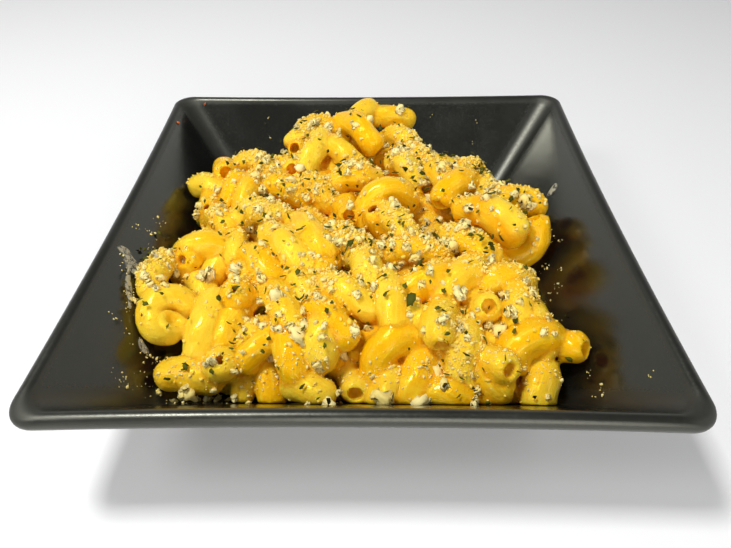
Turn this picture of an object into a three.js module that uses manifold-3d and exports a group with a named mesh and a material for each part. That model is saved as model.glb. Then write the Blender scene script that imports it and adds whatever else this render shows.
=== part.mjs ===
// Macaroni and cheese in its square dish.
// Millimetres, +Z up. The origin is the middle of the dish's foot, on the table.
// The dish is one solid. The heap is one solid: a mound with corkscrew noodles
// and coarse crumbs joined to it, trimmed to the inside of the dish.

import * as THREE from 'three';
import { mergeVertices } from 'three/addons/utils/BufferGeometryUtils.js';
import Module from 'manifold-3d';

const wasm = await Module();
wasm.setup();

// ---------------------------------------------------------------- dish sizes
const RIM_HALF = 100; // half the side of the square rim
const DISH_HEIGHT = 46.5;
const FOOT_HEIGHT = 2;
const FOOT_WIDTH = 5;
const FOOT_CHAMFER = 1;
const FLOOR_Z = 6.5; // upper face of the dish's flat floor
const PANEL_SLOPE = 1.3; // rise of a side panel for each millimetre outwards
const PANEL_THICKNESS = 4.5;
const LIP_RADIUS = 2.75; // the rim is a rounded bead
const LIP_STEPS = 6; // faces round the bead
const CORNER_SHARE = 0.08; // corner radius as a share of the half side
const SIDE_BOW = 1.55; // how far the middle of each rim side bows inwards

// The bead's middle, and the half side of the floor that lets each panel run
// smoothly into the bead.
const LIP_HALF = RIM_HALF - LIP_RADIUS;
const LIP_Z = DISH_HEIGHT - LIP_RADIUS;
const SLANT = Math.hypot(1, PANEL_SLOPE) / PANEL_SLOPE; // level distance across a panel, per mm
const FLOOR_HALF = LIP_HALF - LIP_RADIUS * SLANT - (LIP_Z - FLOOR_Z) / PANEL_SLOPE;

// ---------------------------------------------------------------- food sizes
const GAP = 0.3; // free space between the food and the dish
const TUBE_GIRTH = 5.6; // radius of a sauced noodle, unless it has its own
const BORE_RADIUS = 2.4;
const BORE_DEPTH = 5;
const TUBE_SIDES = 7;
const BORE_SIDES = 5;
const STEPS_PER_TURN = 9;
const LEAST_STEPS = 4;
const COIL_RADIUS = 4; // from the coil's axis to the middle of the tube
const COIL_PITCH = 34;
const COIL_TURNS = 0.6;
const CRUMB_COUNT = 30;
const CRUMB_LARGEST = 3.4; // radius of the first crumb; the last is CRUMB_SMALLEST
const CRUMB_SMALLEST = 1.5;
const CRUMB_SEED = 7411;
const CRUMB_SPACING = 9;
const CRUMB_SINK = 0.35; // share of its radius that a crumb lies in the sauce

// The mound under the noodles, from its near end to its far end.
const CORE_NEAR_Y = -75;
const CORE_FAR_Y = 104;
const CORE_HALF_WIDTH = 76;
const CORE_TAPER_Y = 36; // from here the mound narrows towards the far panel
const CORE_FAR_WIDTH = 4;
const CORE_WAIST = 9; // height over the floor at which the mound is widest
const CORE_NEAR_HEIGHT = 18;
const CORE_FAR_HEIGHT = 34;
const CORE_FULLNESS = 0.4; // 1 is an ellipsoid, 0 is a box
const CORE_SEGMENTS = 16;
const CORE_RINGS = 10;

/** A short noodle that comes up out of the heap with its open end showing. */
function mouth(at, heading, tilt, girth, length = 14) {
  return { at, heading, tilt, girth, roll: 180, turns: 0.5, coil: 2, pitch: 2 * length, open: 'end' };
}

// Each noodle is a corkscrew tube about an axis through `at`. heading and tilt
// aim the axis (0 is +X, 90 is +Y), roll turns the coil about it, girth is the
// tube's radius, and open names the end whose bore shows.
const NOODLES = [
  // far side, up the far panel
  { at: [-2, 87, 41], heading: 78, tilt: 12, turns: 0.5, coil: 2, pitch: 22, girth: 5.9 },
  { at: [13, 89, 38], heading: 8, tilt: 4, roll: 30, turns: 0.5, coil: 2, girth: 5.9 },
  { at: [17, 69, 36], heading: -10, turns: 0.45, coil: 3, pitch: 26, girth: 5.2 },
  { at: [-4, 68, 41], heading: -28, tilt: -6, pitch: 42, girth: 6.1 },
  { at: [-12, 53, 38], heading: -22, tilt: -6, roll: 10, coil: 3.5, pitch: 38, girth: 5.8 },
  { at: [-25, 51, 38], heading: -88, tilt: -30, turns: 0.65, coil: 3.5, pitch: 40, girth: 5.9 },
  mouth([-32, 66, 36], -120, 16, 5.2),
  { at: [-22, 76, 37], heading: 12, girth: 5.7 },
  // the far right slope of the heap
  { at: [24, 54, 33], heading: -20, girth: 5.7 },
  { at: [18, 45, 34], heading: -30, pitch: 32, girth: 5.5 },
  { at: [46, 42, 32], heading: 75, turns: 0.55, pitch: 28, girth: 5.5, open: 'end' },
  { at: [53, 29, 31], heading: -50, pitch: 32, girth: 5.7 },
  // left, towards the far panel
  mouth([-66, 46, 35], -88, 20, 5.8, 16),
  { at: [-71, 33, 31], heading: 0, turns: 0.5, coil: 3, pitch: 28 },
  mouth([-68, 21, 33], -95, 14, 5.4),
  { at: [-48, 44, 35], heading: -8, roll: 10, turns: 0.7, pitch: 38 },
  mouth([-37, 47, 36], -80, 16, 5.3),
  { at: [-52, 24, 34], heading: -68, tilt: -10, coil: 3.5, pitch: 36, girth: 5.7 },
  { at: [-61, 8, 30], heading: -20, turns: 0.65, pitch: 36 },
  { at: [-42, 7, 35], heading: 20, coil: 4.5, girth: 5.8 },
  // left, half way down
  { at: [-64, -10, 29], heading: 62, tilt: -5, turns: 0.7, coil: 6, pitch: 28, girth: 5.8 },
  mouth([-69, -9, 32], -115, 8, 5.5),
  { at: [-39, -22, 33], heading: -30, turns: 0.55, coil: 3.5, pitch: 36, girth: 5.7 },
  { at: [-30, -15, 36], heading: -33, coil: 3.5, pitch: 46, girth: 6.0 },
  { at: [-21, -10, 38], heading: -40, turns: 0.55, coil: 3, pitch: 44, girth: 5.8 },
  // middle
  { at: [-4, 32, 36], heading: 30, pitch: 32, girth: 5.9 },
  { at: [9, 13, 37], heading: 80, tilt: -8, roll: -10, turns: 0.75, coil: 7.5, pitch: 26, girth: 5.8 },
  mouth([-7, 13, 36], -100, 14, 5.6),
  { at: [14, -6, 38], heading: -38, tilt: -8, coil: 3.5, pitch: 48, girth: 5.9, open: 'start' },
  mouth([8, -1, 37], 120, 46, 5.0, 12),
  { at: [-5, -12, 36], heading: -5, roll: 20, turns: 0.65, pitch: 42, girth: 5.7 },
  { at: [-7, -38, 33], heading: -8, pitch: 36, girth: 5.8 },
  { at: [-29, -43, 31], heading: -42, coil: 3.5, pitch: 44, girth: 5.8 },
  { at: [10, -42, 34], heading: -62, tilt: -8, turns: 0.55, coil: 3, pitch: 38, girth: 5.7 },
  { at: [23, -34, 35], heading: -125, tilt: -8, coil: 3.5, pitch: 36, girth: 6.2 },
  { at: [35, -32, 35], heading: -110, tilt: -8, coil: 3.5, girth: 6.2 },
  { at: [27, -51, 33], heading: -75, tilt: 15, turns: 0.5, coil: 3, pitch: 30, girth: 6.0 },
  // right, towards the far panel
  { at: [39, 24, 38], heading: 68, turns: 0.5, coil: 3, pitch: 38, girth: 6.0 },
  { at: [51, 4, 36], heading: -20, turns: 0.65, pitch: 42, girth: 6.2 },
  { at: [55, 2, 38], heading: -18, tilt: -4, turns: 0.5, coil: 3, pitch: 32, girth: 6.5 },
  { at: [66, 18, 35], heading: -4, turns: 0.5, coil: 2, pitch: 38, girth: 5.7 },
  { at: [62, 2, 31], heading: 90, tilt: -43, roll: 155, turns: 0.55, coil: 9.5, pitch: 12, girth: 5.9, open: 'start' },
  // right, half way down
  { at: [41, -14, 36], heading: -15, turns: 0.55, pitch: 36, girth: 6.0 },
  { at: [52, -31, 30], heading: 62, turns: 0.65, coil: 6, pitch: 28, girth: 5.9 },
  mouth([42, -39, 33], -90, 26, 5.6),
  // near side, right to left
  mouth([66, -53, 26], -38, 12, 5.7, 20),
  { at: [59, -55, 25], heading: 75, tilt: -5, roll: 10, turns: 0.7, coil: 6, pitch: 28, girth: 6.3 },
  mouth([41, -61, 29], -62, 12, 5.7, 20),
  { at: [61, -66, 18], heading: -80, tilt: -12, turns: 0.55, coil: 3, girth: 6.3 },
  { at: [28, -72, 20], heading: 5, turns: 0.5, coil: 2, pitch: 28, girth: 5.7 },
  { at: [18, -66, 20], heading: -82, tilt: -25, turns: 0.55, coil: 3.5, pitch: 38, girth: 5.9 },
  { at: [12, -58, 24], heading: 82, tilt: -5, roll: -34, turns: 0.78, coil: 6.6, pitch: 26, girth: 6.4 },
  { at: [8, -69, 19], heading: -85, tilt: -20, turns: 0.45, coil: 2, pitch: 28, girth: 5.8 },
  mouth([-4, -63, 19], -92, 8, 5.2),
  { at: [-14, -54, 29], heading: -62, tilt: -18, turns: 0.55, coil: 3.5, pitch: 26, girth: 6.9 },
  { at: [-18, -71, 22], heading: -6, turns: 0.5, coil: 1.5, pitch: 24 },
  { at: [-25, -61, 28], heading: -56, tilt: -18, turns: 0.5, coil: 1.5, pitch: 32 },
  { at: [-34, -65, 15], heading: -58, tilt: -25, turns: 0.5, coil: 1.5, girth: 5.2 },
  { at: [-37, -58, 27], heading: -115, tilt: -20, turns: 0.5, coil: 1.5, pitch: 26, girth: 5.0 },
  mouth([-50, -59, 23], -90, 42, 6.4),
  { at: [-60, -64, 20], heading: 4, turns: 0.5, coil: 1.5, girth: 6.2 },
  { at: [-48, -44, 24], heading: -80, coil: 3, girth: 6.0 },
  { at: [-57, -46, 27], heading: -84, tilt: -14, coil: 2, pitch: 40, girth: 6.1 },
  { at: [-72, -41, 28], heading: 90, tilt: -43, roll: 324, turns: 1.2, coil: 5.6, pitch: 15, girth: 5.7, open: 'start' },
  mouth([-48, -32, 30], -90, 42, 6.4),
];

// ------------------------------------------------------------------- helpers
const UP = new THREE.Vector3(0, 0, 1);

/** Turns a closed three.js geometry into a solid that can be joined and cut. */
function solidOf(geometry) {
  const bare = geometry.clone();
  bare.deleteAttribute('normal');
  bare.deleteAttribute('uv');
  const merged = mergeVertices(bare, 1e-4);
  return new wasm.Manifold(new wasm.Mesh({
    numProp: 3,
    vertProperties: new Float32Array(merged.attributes.position.array),
    triVerts: new Uint32Array(merged.index.array),
  }));
}

/** Turns a joined or cut solid back into a three.js geometry. */
function geometryOf(solid) {
  const mesh = solid.getMesh();
  const geometry = new THREE.BufferGeometry();
  geometry.setAttribute('position', new THREE.BufferAttribute(mesh.vertProperties, mesh.numProp));
  geometry.setIndex(new THREE.BufferAttribute(mesh.triVerts, 1));
  geometry.computeVertexNormals();
  return geometry;
}

/** The largest body of a solid: loose scraps and sealed hollows are dropped. */
function largestBody(solid) {
  const bodies = solid.decompose();
  bodies.sort((a, b) => b.volume() - a.volume());
  return bodies[0];
}

/** A repeatable row of random numbers from 0 to 1. */
function randomRow(seed) {
  let state = seed;
  return () => {
    state = (state * 16807) % 2147483647;
    return state / 2147483647;
  };
}

// ---------------------------------------------------------------------- dish
const STATIONS_PER_QUARTER = 8;
const STATIONS = 4 * STATIONS_PER_QUARTER;
const SIDE_STATION = 0.6; // place of the point between a side's middle and its corner
const ARC_STATIONS = 4; // steps round each corner

/** The point at one station round a square outline with bowed sides. */
function squarePoint(station, half) {
  const quarter = Math.floor(station / STATIONS_PER_QUARTER);
  const step = station % STATIONS_PER_QUARTER;
  const radius = CORNER_SHARE * half;
  const straight = half - radius;
  const bow = SIDE_BOW * Math.max(0, (half - FLOOR_HALF) / (RIM_HALF - FLOOR_HALF));
  const between = half - bow * (1 - SIDE_STATION ** 2);
  const point = new THREE.Vector2(half - bow, 0);
  if (step === 1) point.set(between, SIDE_STATION * straight);
  if (step === STATIONS_PER_QUARTER - 1) point.set(SIDE_STATION * straight, between);
  if (step >= 2 && step <= 2 + ARC_STATIONS) {
    const angle = ((step - 2) / ARC_STATIONS) * (Math.PI / 2);
    point.set(straight + radius * Math.cos(angle), straight + radius * Math.sin(angle));
  }
  return point.rotateAround(new THREE.Vector2(), quarter * (Math.PI / 2));
}

/** Sweeps a profile of [half side, height] points round the square outline. */
function squareLathe(profile) {
  const points = profile.map(([half, height]) => new THREE.Vector2(half, height));
  const geometry = new THREE.LatheGeometry(points, STATIONS);
  const position = geometry.attributes.position;
  for (let i = 0; i < position.count; i += 1) {
    const station = Math.floor(i / points.length) % STATIONS;
    const { x: half, y: height } = points[i % points.length];
    const flat = squarePoint(station, half);
    position.setXYZ(i, flat.x, flat.y, height);
  }
  return geometry;
}

/** Half the side of the dish's inside at a height. */
function insideHalf(height) {
  return FLOOR_HALF + (height - FLOOR_Z) / PANEL_SLOPE;
}

/** The bead of the rim, from its underside over the top to the panel. */
function lipArc() {
  const panelEnd = Math.PI - Math.atan(1 / PANEL_SLOPE);
  const underside = -Math.PI / 2;
  return Array.from({ length: LIP_STEPS + 1 }, (_, i) => {
    const angle = THREE.MathUtils.lerp(underside, panelEnd, i / LIP_STEPS);
    return [LIP_HALF + LIP_RADIUS * Math.cos(angle), LIP_Z + LIP_RADIUS * Math.sin(angle)];
  });
}

function dishGeometry() {
  const footHalf = insideHalf(FOOT_HEIGHT) + PANEL_THICKNESS * SLANT;
  return squareLathe([
    [0, FOOT_HEIGHT],
    [footHalf - FOOT_WIDTH, FOOT_HEIGHT],
    [footHalf - FOOT_WIDTH, 0],
    [footHalf - FOOT_CHAMFER, 0],
    [footHalf, FOOT_HEIGHT],
    ...lipArc(),
    [FLOOR_HALF, FLOOR_Z],
    [0, FLOOR_Z],
  ]);
}

// ---------------------------------------------------------------------- heap
/** The middle line of a corkscrew noodle. */
class Corkscrew extends THREE.Curve {
  constructor({
    at, heading, tilt = 0, roll = 0, turns = COIL_TURNS, coil = COIL_RADIUS, pitch = COIL_PITCH,
  }) {
    super();
    const across = THREE.MathUtils.degToRad(heading);
    const rise = THREE.MathUtils.degToRad(tilt);
    this.middle = new THREE.Vector3(...at);
    this.axis = new THREE.Vector3(
      Math.cos(rise) * Math.cos(across),
      Math.cos(rise) * Math.sin(across),
      Math.sin(rise),
    );
    this.top = UP.clone().addScaledVector(this.axis, -UP.dot(this.axis)).normalize();
    this.side = new THREE.Vector3().crossVectors(this.axis, this.top);
    this.roll = THREE.MathUtils.degToRad(roll);
    this.turns = turns;
    this.coil = coil;
    this.pitch = pitch;
  }

  getPoint(t, target = new THREE.Vector3()) {
    const turned = this.turns * (t - 0.5);
    const angle = this.roll + 2 * Math.PI * turned;
    return target.copy(this.middle)
      .addScaledVector(this.axis, this.pitch * turned)
      .addScaledVector(this.top, this.coil * Math.cos(angle))
      .addScaledVector(this.side, this.coil * Math.sin(angle));
  }
}

/** The stretch of a curve between two of its parameters, which may lie outside 0 to 1. */
class Stretch extends THREE.Curve {
  constructor(curve, from, to) {
    super();
    Object.assign(this, { curve, from, to });
  }

  getPoint(t, target = new THREE.Vector3()) {
    return this.curve.getPoint(this.from + t * (this.to - this.from), target);
  }
}

/** A round bar of few sides along a curve. */
function barAlong(curve, radius, sides, steps) {
  const section = new THREE.Shape();
  for (let i = 0; i < sides; i += 1) {
    const angle = (2 * Math.PI * (i + 0.5)) / sides;
    const [x, y] = [radius * Math.cos(angle), radius * Math.sin(angle)];
    if (i === 0) section.moveTo(x, y);
    else section.lineTo(x, y);
  }
  section.closePath();
  return solidOf(new THREE.ExtrudeGeometry(section, { steps, extrudePath: curve, curveSegments: 1 }));
}

function noodleSolid(noodle) {
  const curve = new Corkscrew(noodle);
  const steps = Math.max(LEAST_STEPS, Math.round(curve.turns * STEPS_PER_TURN));
  const tube = barAlong(curve, noodle.girth ?? TUBE_GIRTH, TUBE_SIDES, steps);
  if (!noodle.open) return tube;
  const depth = BORE_DEPTH / curve.getLength();
  const [from, to] = noodle.open === 'start' ? [-0.02, depth] : [1 - depth, 1.02];
  return tube.subtract(barAlong(new Stretch(curve, from, to), BORE_RADIUS, BORE_SIDES, 2));
}

/** The mound that the noodles lie on: a sphere drawn out to the heap's plan. */
function coreSolid() {
  const geometry = new THREE.SphereGeometry(1, CORE_SEGMENTS, CORE_RINGS);
  const position = geometry.attributes.position;
  for (let i = 0; i < position.count; i += 1) {
    const along = (position.getY(i) + 1) / 2;
    const y = THREE.MathUtils.lerp(CORE_NEAR_Y, CORE_FAR_Y, along);
    const taper = THREE.MathUtils.clamp((y - CORE_TAPER_Y) / (CORE_FAR_Y - CORE_TAPER_Y), 0, 1);
    const halfWidth = THREE.MathUtils.lerp(CORE_HALF_WIDTH, CORE_FAR_WIDTH, taper);
    const height = THREE.MathUtils.lerp(CORE_NEAR_HEIGHT, CORE_FAR_HEIGHT, along);
    const reach = Math.hypot(position.getX(i), position.getZ(i));
    const fuller = reach > 1e-6 ? reach ** (CORE_FULLNESS - 1) : 0;
    const x = position.getX(i) * fuller * halfWidth;
    const z = position.getZ(i) * fuller;
    const rise = z > 0 ? z * (height - CORE_WAIST) : 2 * z * CORE_WAIST;
    position.setXYZ(i, x, y, FLOOR_Z + CORE_WAIST + rise);
  }
  return solidOf(geometry);
}

/** The space inside the dish that the food may fill, up to above the rim. */
function insideSolid() {
  const gap = GAP * SLANT;
  return solidOf(squareLathe([
    [0, FLOOR_Z + GAP],
    [insideHalf(FLOOR_Z + GAP) - gap, FLOOR_Z + GAP],
    [insideHalf(LIP_Z) - gap, LIP_Z],
    [insideHalf(LIP_Z) - gap, 2 * DISH_HEIGHT],
    [0, 2 * DISH_HEIGHT],
  ]));
}

/** A small uneven lump: an icosahedron with each corner moved in or out. */
function crumbGeometry(radius, random) {
  const geometry = new THREE.IcosahedronGeometry(radius, 0);
  geometry.deleteAttribute('normal');
  geometry.deleteAttribute('uv');
  const lump = mergeVertices(geometry, 1e-4);
  const position = lump.attributes.position;
  const stretch = [0.8 + 0.6 * random(), 0.8 + 0.5 * random(), 0.6 + 0.3 * random()];
  for (let i = 0; i < position.count; i += 1) {
    const uneven = 0.75 + 0.5 * random();
    position.setXYZ(
      i,
      position.getX(i) * stretch[0] * uneven,
      position.getY(i) * stretch[1] * uneven,
      position.getZ(i) * stretch[2] * uneven,
    );
  }
  return lump;
}

/** Coarse crumbs on top of a heap, largest first and spread evenly. */
function crumbSolids(heap) {
  const random = randomRow(CRUMB_SEED);
  const heapMesh = new THREE.Mesh(geometryOf(heap), new THREE.MeshBasicMaterial());
  const ray = new THREE.Raycaster();
  const down = new THREE.Vector3(0, 0, -1);
  const placed = [];
  const solids = [];
  while (solids.length < CRUMB_COUNT) {
    const x = (2 * random() - 1) * insideHalf(DISH_HEIGHT);
    const y = (2 * random() - 1) * insideHalf(DISH_HEIGHT);
    const spot = new THREE.Vector2(x, y);
    ray.set(new THREE.Vector3(x, y, 2 * DISH_HEIGHT), down);
    const [hit] = ray.intersectObject(heapMesh);
    const free = placed.every((other) => other.distanceTo(spot) > CRUMB_SPACING);
    if (hit && free) {
      const share = solids.length / (CRUMB_COUNT - 1);
      const radius = THREE.MathUtils.lerp(CRUMB_LARGEST, CRUMB_SMALLEST, share);
      const lump = crumbGeometry(radius, random);
      lump.translate(x, y, hit.point.z + radius * (0.5 - CRUMB_SINK));
      solids.push(solidOf(lump));
      placed.push(spot);
    }
  }
  return solids;
}

function heapGeometry() {
  const inside = insideSolid();
  let heap = coreSolid();
  for (const noodle of NOODLES) heap = heap.add(noodleSolid(noodle));
  heap = largestBody(heap.intersect(inside));
  for (const crumb of crumbSolids(heap)) heap = heap.add(crumb);
  return geometryOf(largestBody(heap.intersect(inside)));
}

// --------------------------------------------------------------------- model
const blackGlaze = new THREE.MeshStandardMaterial({ color: 0x1c1e1d, roughness: 0.3, metalness: 0 });
const cheeseSauce = new THREE.MeshStandardMaterial({ color: 0xf6bd34, roughness: 0.35, metalness: 0 });

const dish = new THREE.Mesh(dishGeometry(), blackGlaze);
dish.name = 'plate';

const heap = new THREE.Mesh(heapGeometry(), cheeseSauce);
heap.name = 'mac_heap';

const model = new THREE.Group();
model.add(dish, heap);

export default model;
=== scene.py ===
"""Macaroni and cheese heaped in its square black dish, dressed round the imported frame.

Sizes in the classes are millimetres, as in the part's source, with the origin at
the middle of the dish's foot. Meshes are turned to metres when they are made.
"""

import logging
import math
from dataclasses import dataclass, field
from enum import Enum
from typing import Any, Iterator, Sequence

import bmesh
import bpy
import numpy as np
from mathutils import Matrix, Vector
from mathutils.bvhtree import BVHTree


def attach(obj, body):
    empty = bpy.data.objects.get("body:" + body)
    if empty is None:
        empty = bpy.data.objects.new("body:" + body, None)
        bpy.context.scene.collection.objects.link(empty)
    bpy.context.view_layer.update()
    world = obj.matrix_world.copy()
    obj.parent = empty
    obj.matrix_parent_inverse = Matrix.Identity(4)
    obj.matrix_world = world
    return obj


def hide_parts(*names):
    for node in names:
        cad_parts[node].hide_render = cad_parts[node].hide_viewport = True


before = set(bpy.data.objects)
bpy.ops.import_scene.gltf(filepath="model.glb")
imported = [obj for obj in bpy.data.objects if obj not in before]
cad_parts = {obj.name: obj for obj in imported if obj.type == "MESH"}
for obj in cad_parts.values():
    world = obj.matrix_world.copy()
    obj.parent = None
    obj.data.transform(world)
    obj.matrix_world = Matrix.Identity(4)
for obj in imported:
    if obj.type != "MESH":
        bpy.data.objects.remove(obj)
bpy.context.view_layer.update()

Array = np.ndarray
Colour = tuple[float, float, float]
Point = tuple[float, float, float]

MM = 0.001
ROOT = "root"
UP = np.array([0.0, 0.0, 1.0])
FAR = 30.0  # a distance that stands for far from all food
FOOD_NEAR_Y = -79.0
FOOD_LENGTH = 167.0
FOOD_MIDDLE = 30.0  # the height that the view's crumbs and flakes are read at
LOG = logging.getLogger("mac_and_cheese")


# ------------------------------------------------------------------ usual view
@dataclass(frozen=True)
class View:
    """The camera of the usual view. Its focal length and its frame are in pixels."""

    place: Point = (4.251, -187.537, 183.097)
    right: Point = (0.99987381, 0.01156087, -0.01089509)
    up: Point = (0.00016825, 0.678095537, 0.73497375)
    focal: float = 578.03
    width: float = 731.0
    height: float = 548.0

    def eye(self) -> Array:
        """Where the camera stands, to a hundredth of a millimetre."""
        return np.round(self.place, 2)

    def lens(self, sensor: float) -> float:
        """The focal length for a sensor's width in millimetres, to a hundredth of a millimetre."""
        return round(self.focal / self.width * sensor, 2)

    def point(self, column: float, row: float, z: float) -> tuple[Array, float]:
        """Finds the point at a height that shows at a pixel.

        Args:
            column: The pixel's distance from the left edge of the frame.
            row: The pixel's distance from its top edge.
            z: The point's height over the dish's foot.

        Returns:
            The point, and how many millimetres a pixel covers there.
        """
        right, up = np.array(self.right), np.array(self.up)
        ahead = np.cross(up, right)
        sideways = right * (column - self.width / 2) / self.focal
        ray = ahead + sideways - up * (row - self.height / 2) / self.focal
        depth = (z - self.place[2]) / ray[2]
        return np.array(self.place) + depth * ray, depth / self.focal


VIEW = View()


def spot(column: float, row: float, z: float) -> Point:
    """The place, in whole millimetres, that shows at a pixel of the usual view."""
    point, _ = VIEW.point(column, row, z)
    return round(float(point[0])), round(float(point[1])), z


@dataclass(frozen=True)
class Sighting:
    """One crumb or flake that stands out in the usual view, in pixels."""

    column: float
    row: float
    width: float

    def measured(self) -> Point:
        """Its x and y at the food's middle height and half its width, to a tenth of a millimetre."""
        point, pixel = VIEW.point(self.column, self.row, FOOD_MIDDLE)
        return round(float(point[0]), 1), round(float(point[1]), 1), round(self.width / 2 * pixel, 1)


# --------------------------------------------------------------------- shaders
class Signal:
    """One output socket of a shader node that can be used in Python sums."""

    def __init__(self, graph: "Graph", socket: bpy.types.NodeSocket) -> None:
        """Wraps a socket.

        Args:
            graph: The graph that the socket's node is in.
            socket: The output socket.
        """
        self.graph = graph
        self.socket = socket

    def _math(self, operation: str, *values: Any) -> "Signal":
        """Adds a Math node and returns its result.

        Args:
            operation: The Math node's operation.
            values: The node's inputs, as numbers or signals.

        Returns:
            The node's output.
        """
        inputs = dict(enumerate(values))
        return self.graph.node("ShaderNodeMath", {"operation": operation}, inputs)

    def __add__(self, other: Any) -> "Signal":
        """The sum of two values."""
        return self._math("ADD", self, other)

    def __radd__(self, other: Any) -> "Signal":
        """The sum of two values."""
        return self._math("ADD", other, self)

    def __sub__(self, other: Any) -> "Signal":
        """The difference of two values."""
        return self._math("SUBTRACT", self, other)

    def __rsub__(self, other: Any) -> "Signal":
        """The difference of two values."""
        return self._math("SUBTRACT", other, self)

    def __mul__(self, other: Any) -> "Signal":
        """The product of two values."""
        return self._math("MULTIPLY", self, other)

    def __rmul__(self, other: Any) -> "Signal":
        """The product of two values."""
        return self._math("MULTIPLY", other, self)

    def ramp(self, low: float, high: float) -> "Signal":
        """Rises smoothly from 0 to 1 between two values.

        Args:
            low: The value that gives 0.
            high: The value that gives 1.

        Returns:
            The smooth step.
        """
        settings = {"interpolation_type": "SMOOTHSTEP"}
        values = {"Value": self, "From Min": low, "From Max": high}
        return self.graph.node("ShaderNodeMapRange", settings, values)

    def capped(self) -> "Signal":
        """The value held between 0 and 1."""
        values = {"Value": self, "Min": 0.0, "Max": 1.0}
        return self.graph.node("ShaderNodeClamp", {}, values)


class Graph:
    """A material's node tree, built through a few short methods."""

    def __init__(self, name: str) -> None:
        """Makes an empty material.

        Args:
            name: The material's name.
        """
        self.material = bpy.data.materials.new(name)
        self.material.use_nodes = True
        self.tree = self.material.node_tree
        self.tree.nodes.clear()

    def node(self, kind: str, settings: dict[str, Any], values: dict[Any, Any], output: Any = 0) -> Signal:
        """Adds one node.

        Args:
            kind: The node's type.
            settings: Properties of the node, set before its sockets.
            values: Numbers, colours or signals for its input sockets.
            output: The output socket to return, by name or place.

        Returns:
            The chosen output.
        """
        node = self.tree.nodes.new(kind)
        for key, value in settings.items():
            setattr(node, key, value)
        for key, value in values.items():
            socket = node.inputs[key]
            if isinstance(value, Signal):
                self.tree.links.new(value.socket, socket)
            else:
                socket.default_value = value
        return Signal(self, node.outputs[output])

    def place(self) -> Signal:
        """The point on the object, in metres."""
        return self.node("ShaderNodeTexCoord", {}, {}, "Object")

    def attribute(self, name: str, output: str = "Fac") -> Signal:
        """A value or vector kept on the mesh.

        Args:
            name: The attribute's name.
            output: Fac for a value, Vector for a vector.

        Returns:
            The attribute's output.
        """
        return self.node("ShaderNodeAttribute", {"attribute_name": name}, {}, output)

    def noise(self, place: Signal, size: float, detail: float = 3.0, roughness: float = 0.55) -> Signal:
        """Cloudy noise.

        Args:
            place: The point to read it at, in metres.
            size: The size of its cloud in millimetres.
            detail: Its octaves.
            roughness: The weight of the finer octaves.

        Returns:
            A value near 0.5.
        """
        values = {"Vector": place, "Scale": 1 / (size * MM), "Detail": detail, "Roughness": roughness}
        return self.node("ShaderNodeTexNoise", {"noise_dimensions": "3D"}, values)

    def mix(self, factor: Any, first: Any, second: Any) -> Signal:
        """Mixes two colours.

        Args:
            factor: 0 for the first, 1 for the second.
            first: A colour or signal.
            second: A colour or signal.

        Returns:
            The mixed colour.
        """
        node = self.tree.nodes.new("ShaderNodeMix")
        node.data_type = "RGBA"
        for place, value in ((0, factor), (6, first), (7, second)):
            if isinstance(value, Signal):
                self.tree.links.new(value.socket, node.inputs[place])
            elif place:
                node.inputs[place].default_value = (*value, 1.0)
            else:
                node.inputs[place].default_value = value
        return Signal(self, node.outputs[2])

    def stretch(self, place: Signal, scale: Sequence[float]) -> Signal:
        """A point with each coordinate multiplied.

        Args:
            place: The point.
            scale: The three factors.

        Returns:
            The new point.
        """
        values = {0: place, 1: tuple(scale)}
        return self.node("ShaderNodeVectorMath", {"operation": "MULTIPLY"}, values)

    def bump(self, height: Signal, depth: float, below: Signal | None = None) -> Signal:
        """Turns a height into a normal.

        Args:
            height: The height, from 0 to 1.
            depth: What a height of 1 means, in millimetres.
            below: The normal of a coarser bump under this one.

        Returns:
            The normal.
        """
        values: dict[str, Any] = {"Height": height, "Distance": depth * MM, "Strength": 1.0}
        if below is not None:
            values["Normal"] = below
        return self.node("ShaderNodeBump", {}, values)

    def surface(self, values: dict[str, Any]) -> bpy.types.Material:
        """Ends the graph in a Principled shader.

        Args:
            values: The shader's sockets.

        Returns:
            The finished material.
        """
        shader = self.node("ShaderNodeBsdfPrincipled", {}, values)
        output = self.tree.nodes.new("ShaderNodeOutputMaterial")
        self.tree.links.new(shader.socket, output.inputs["Surface"])
        return self.material


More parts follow.
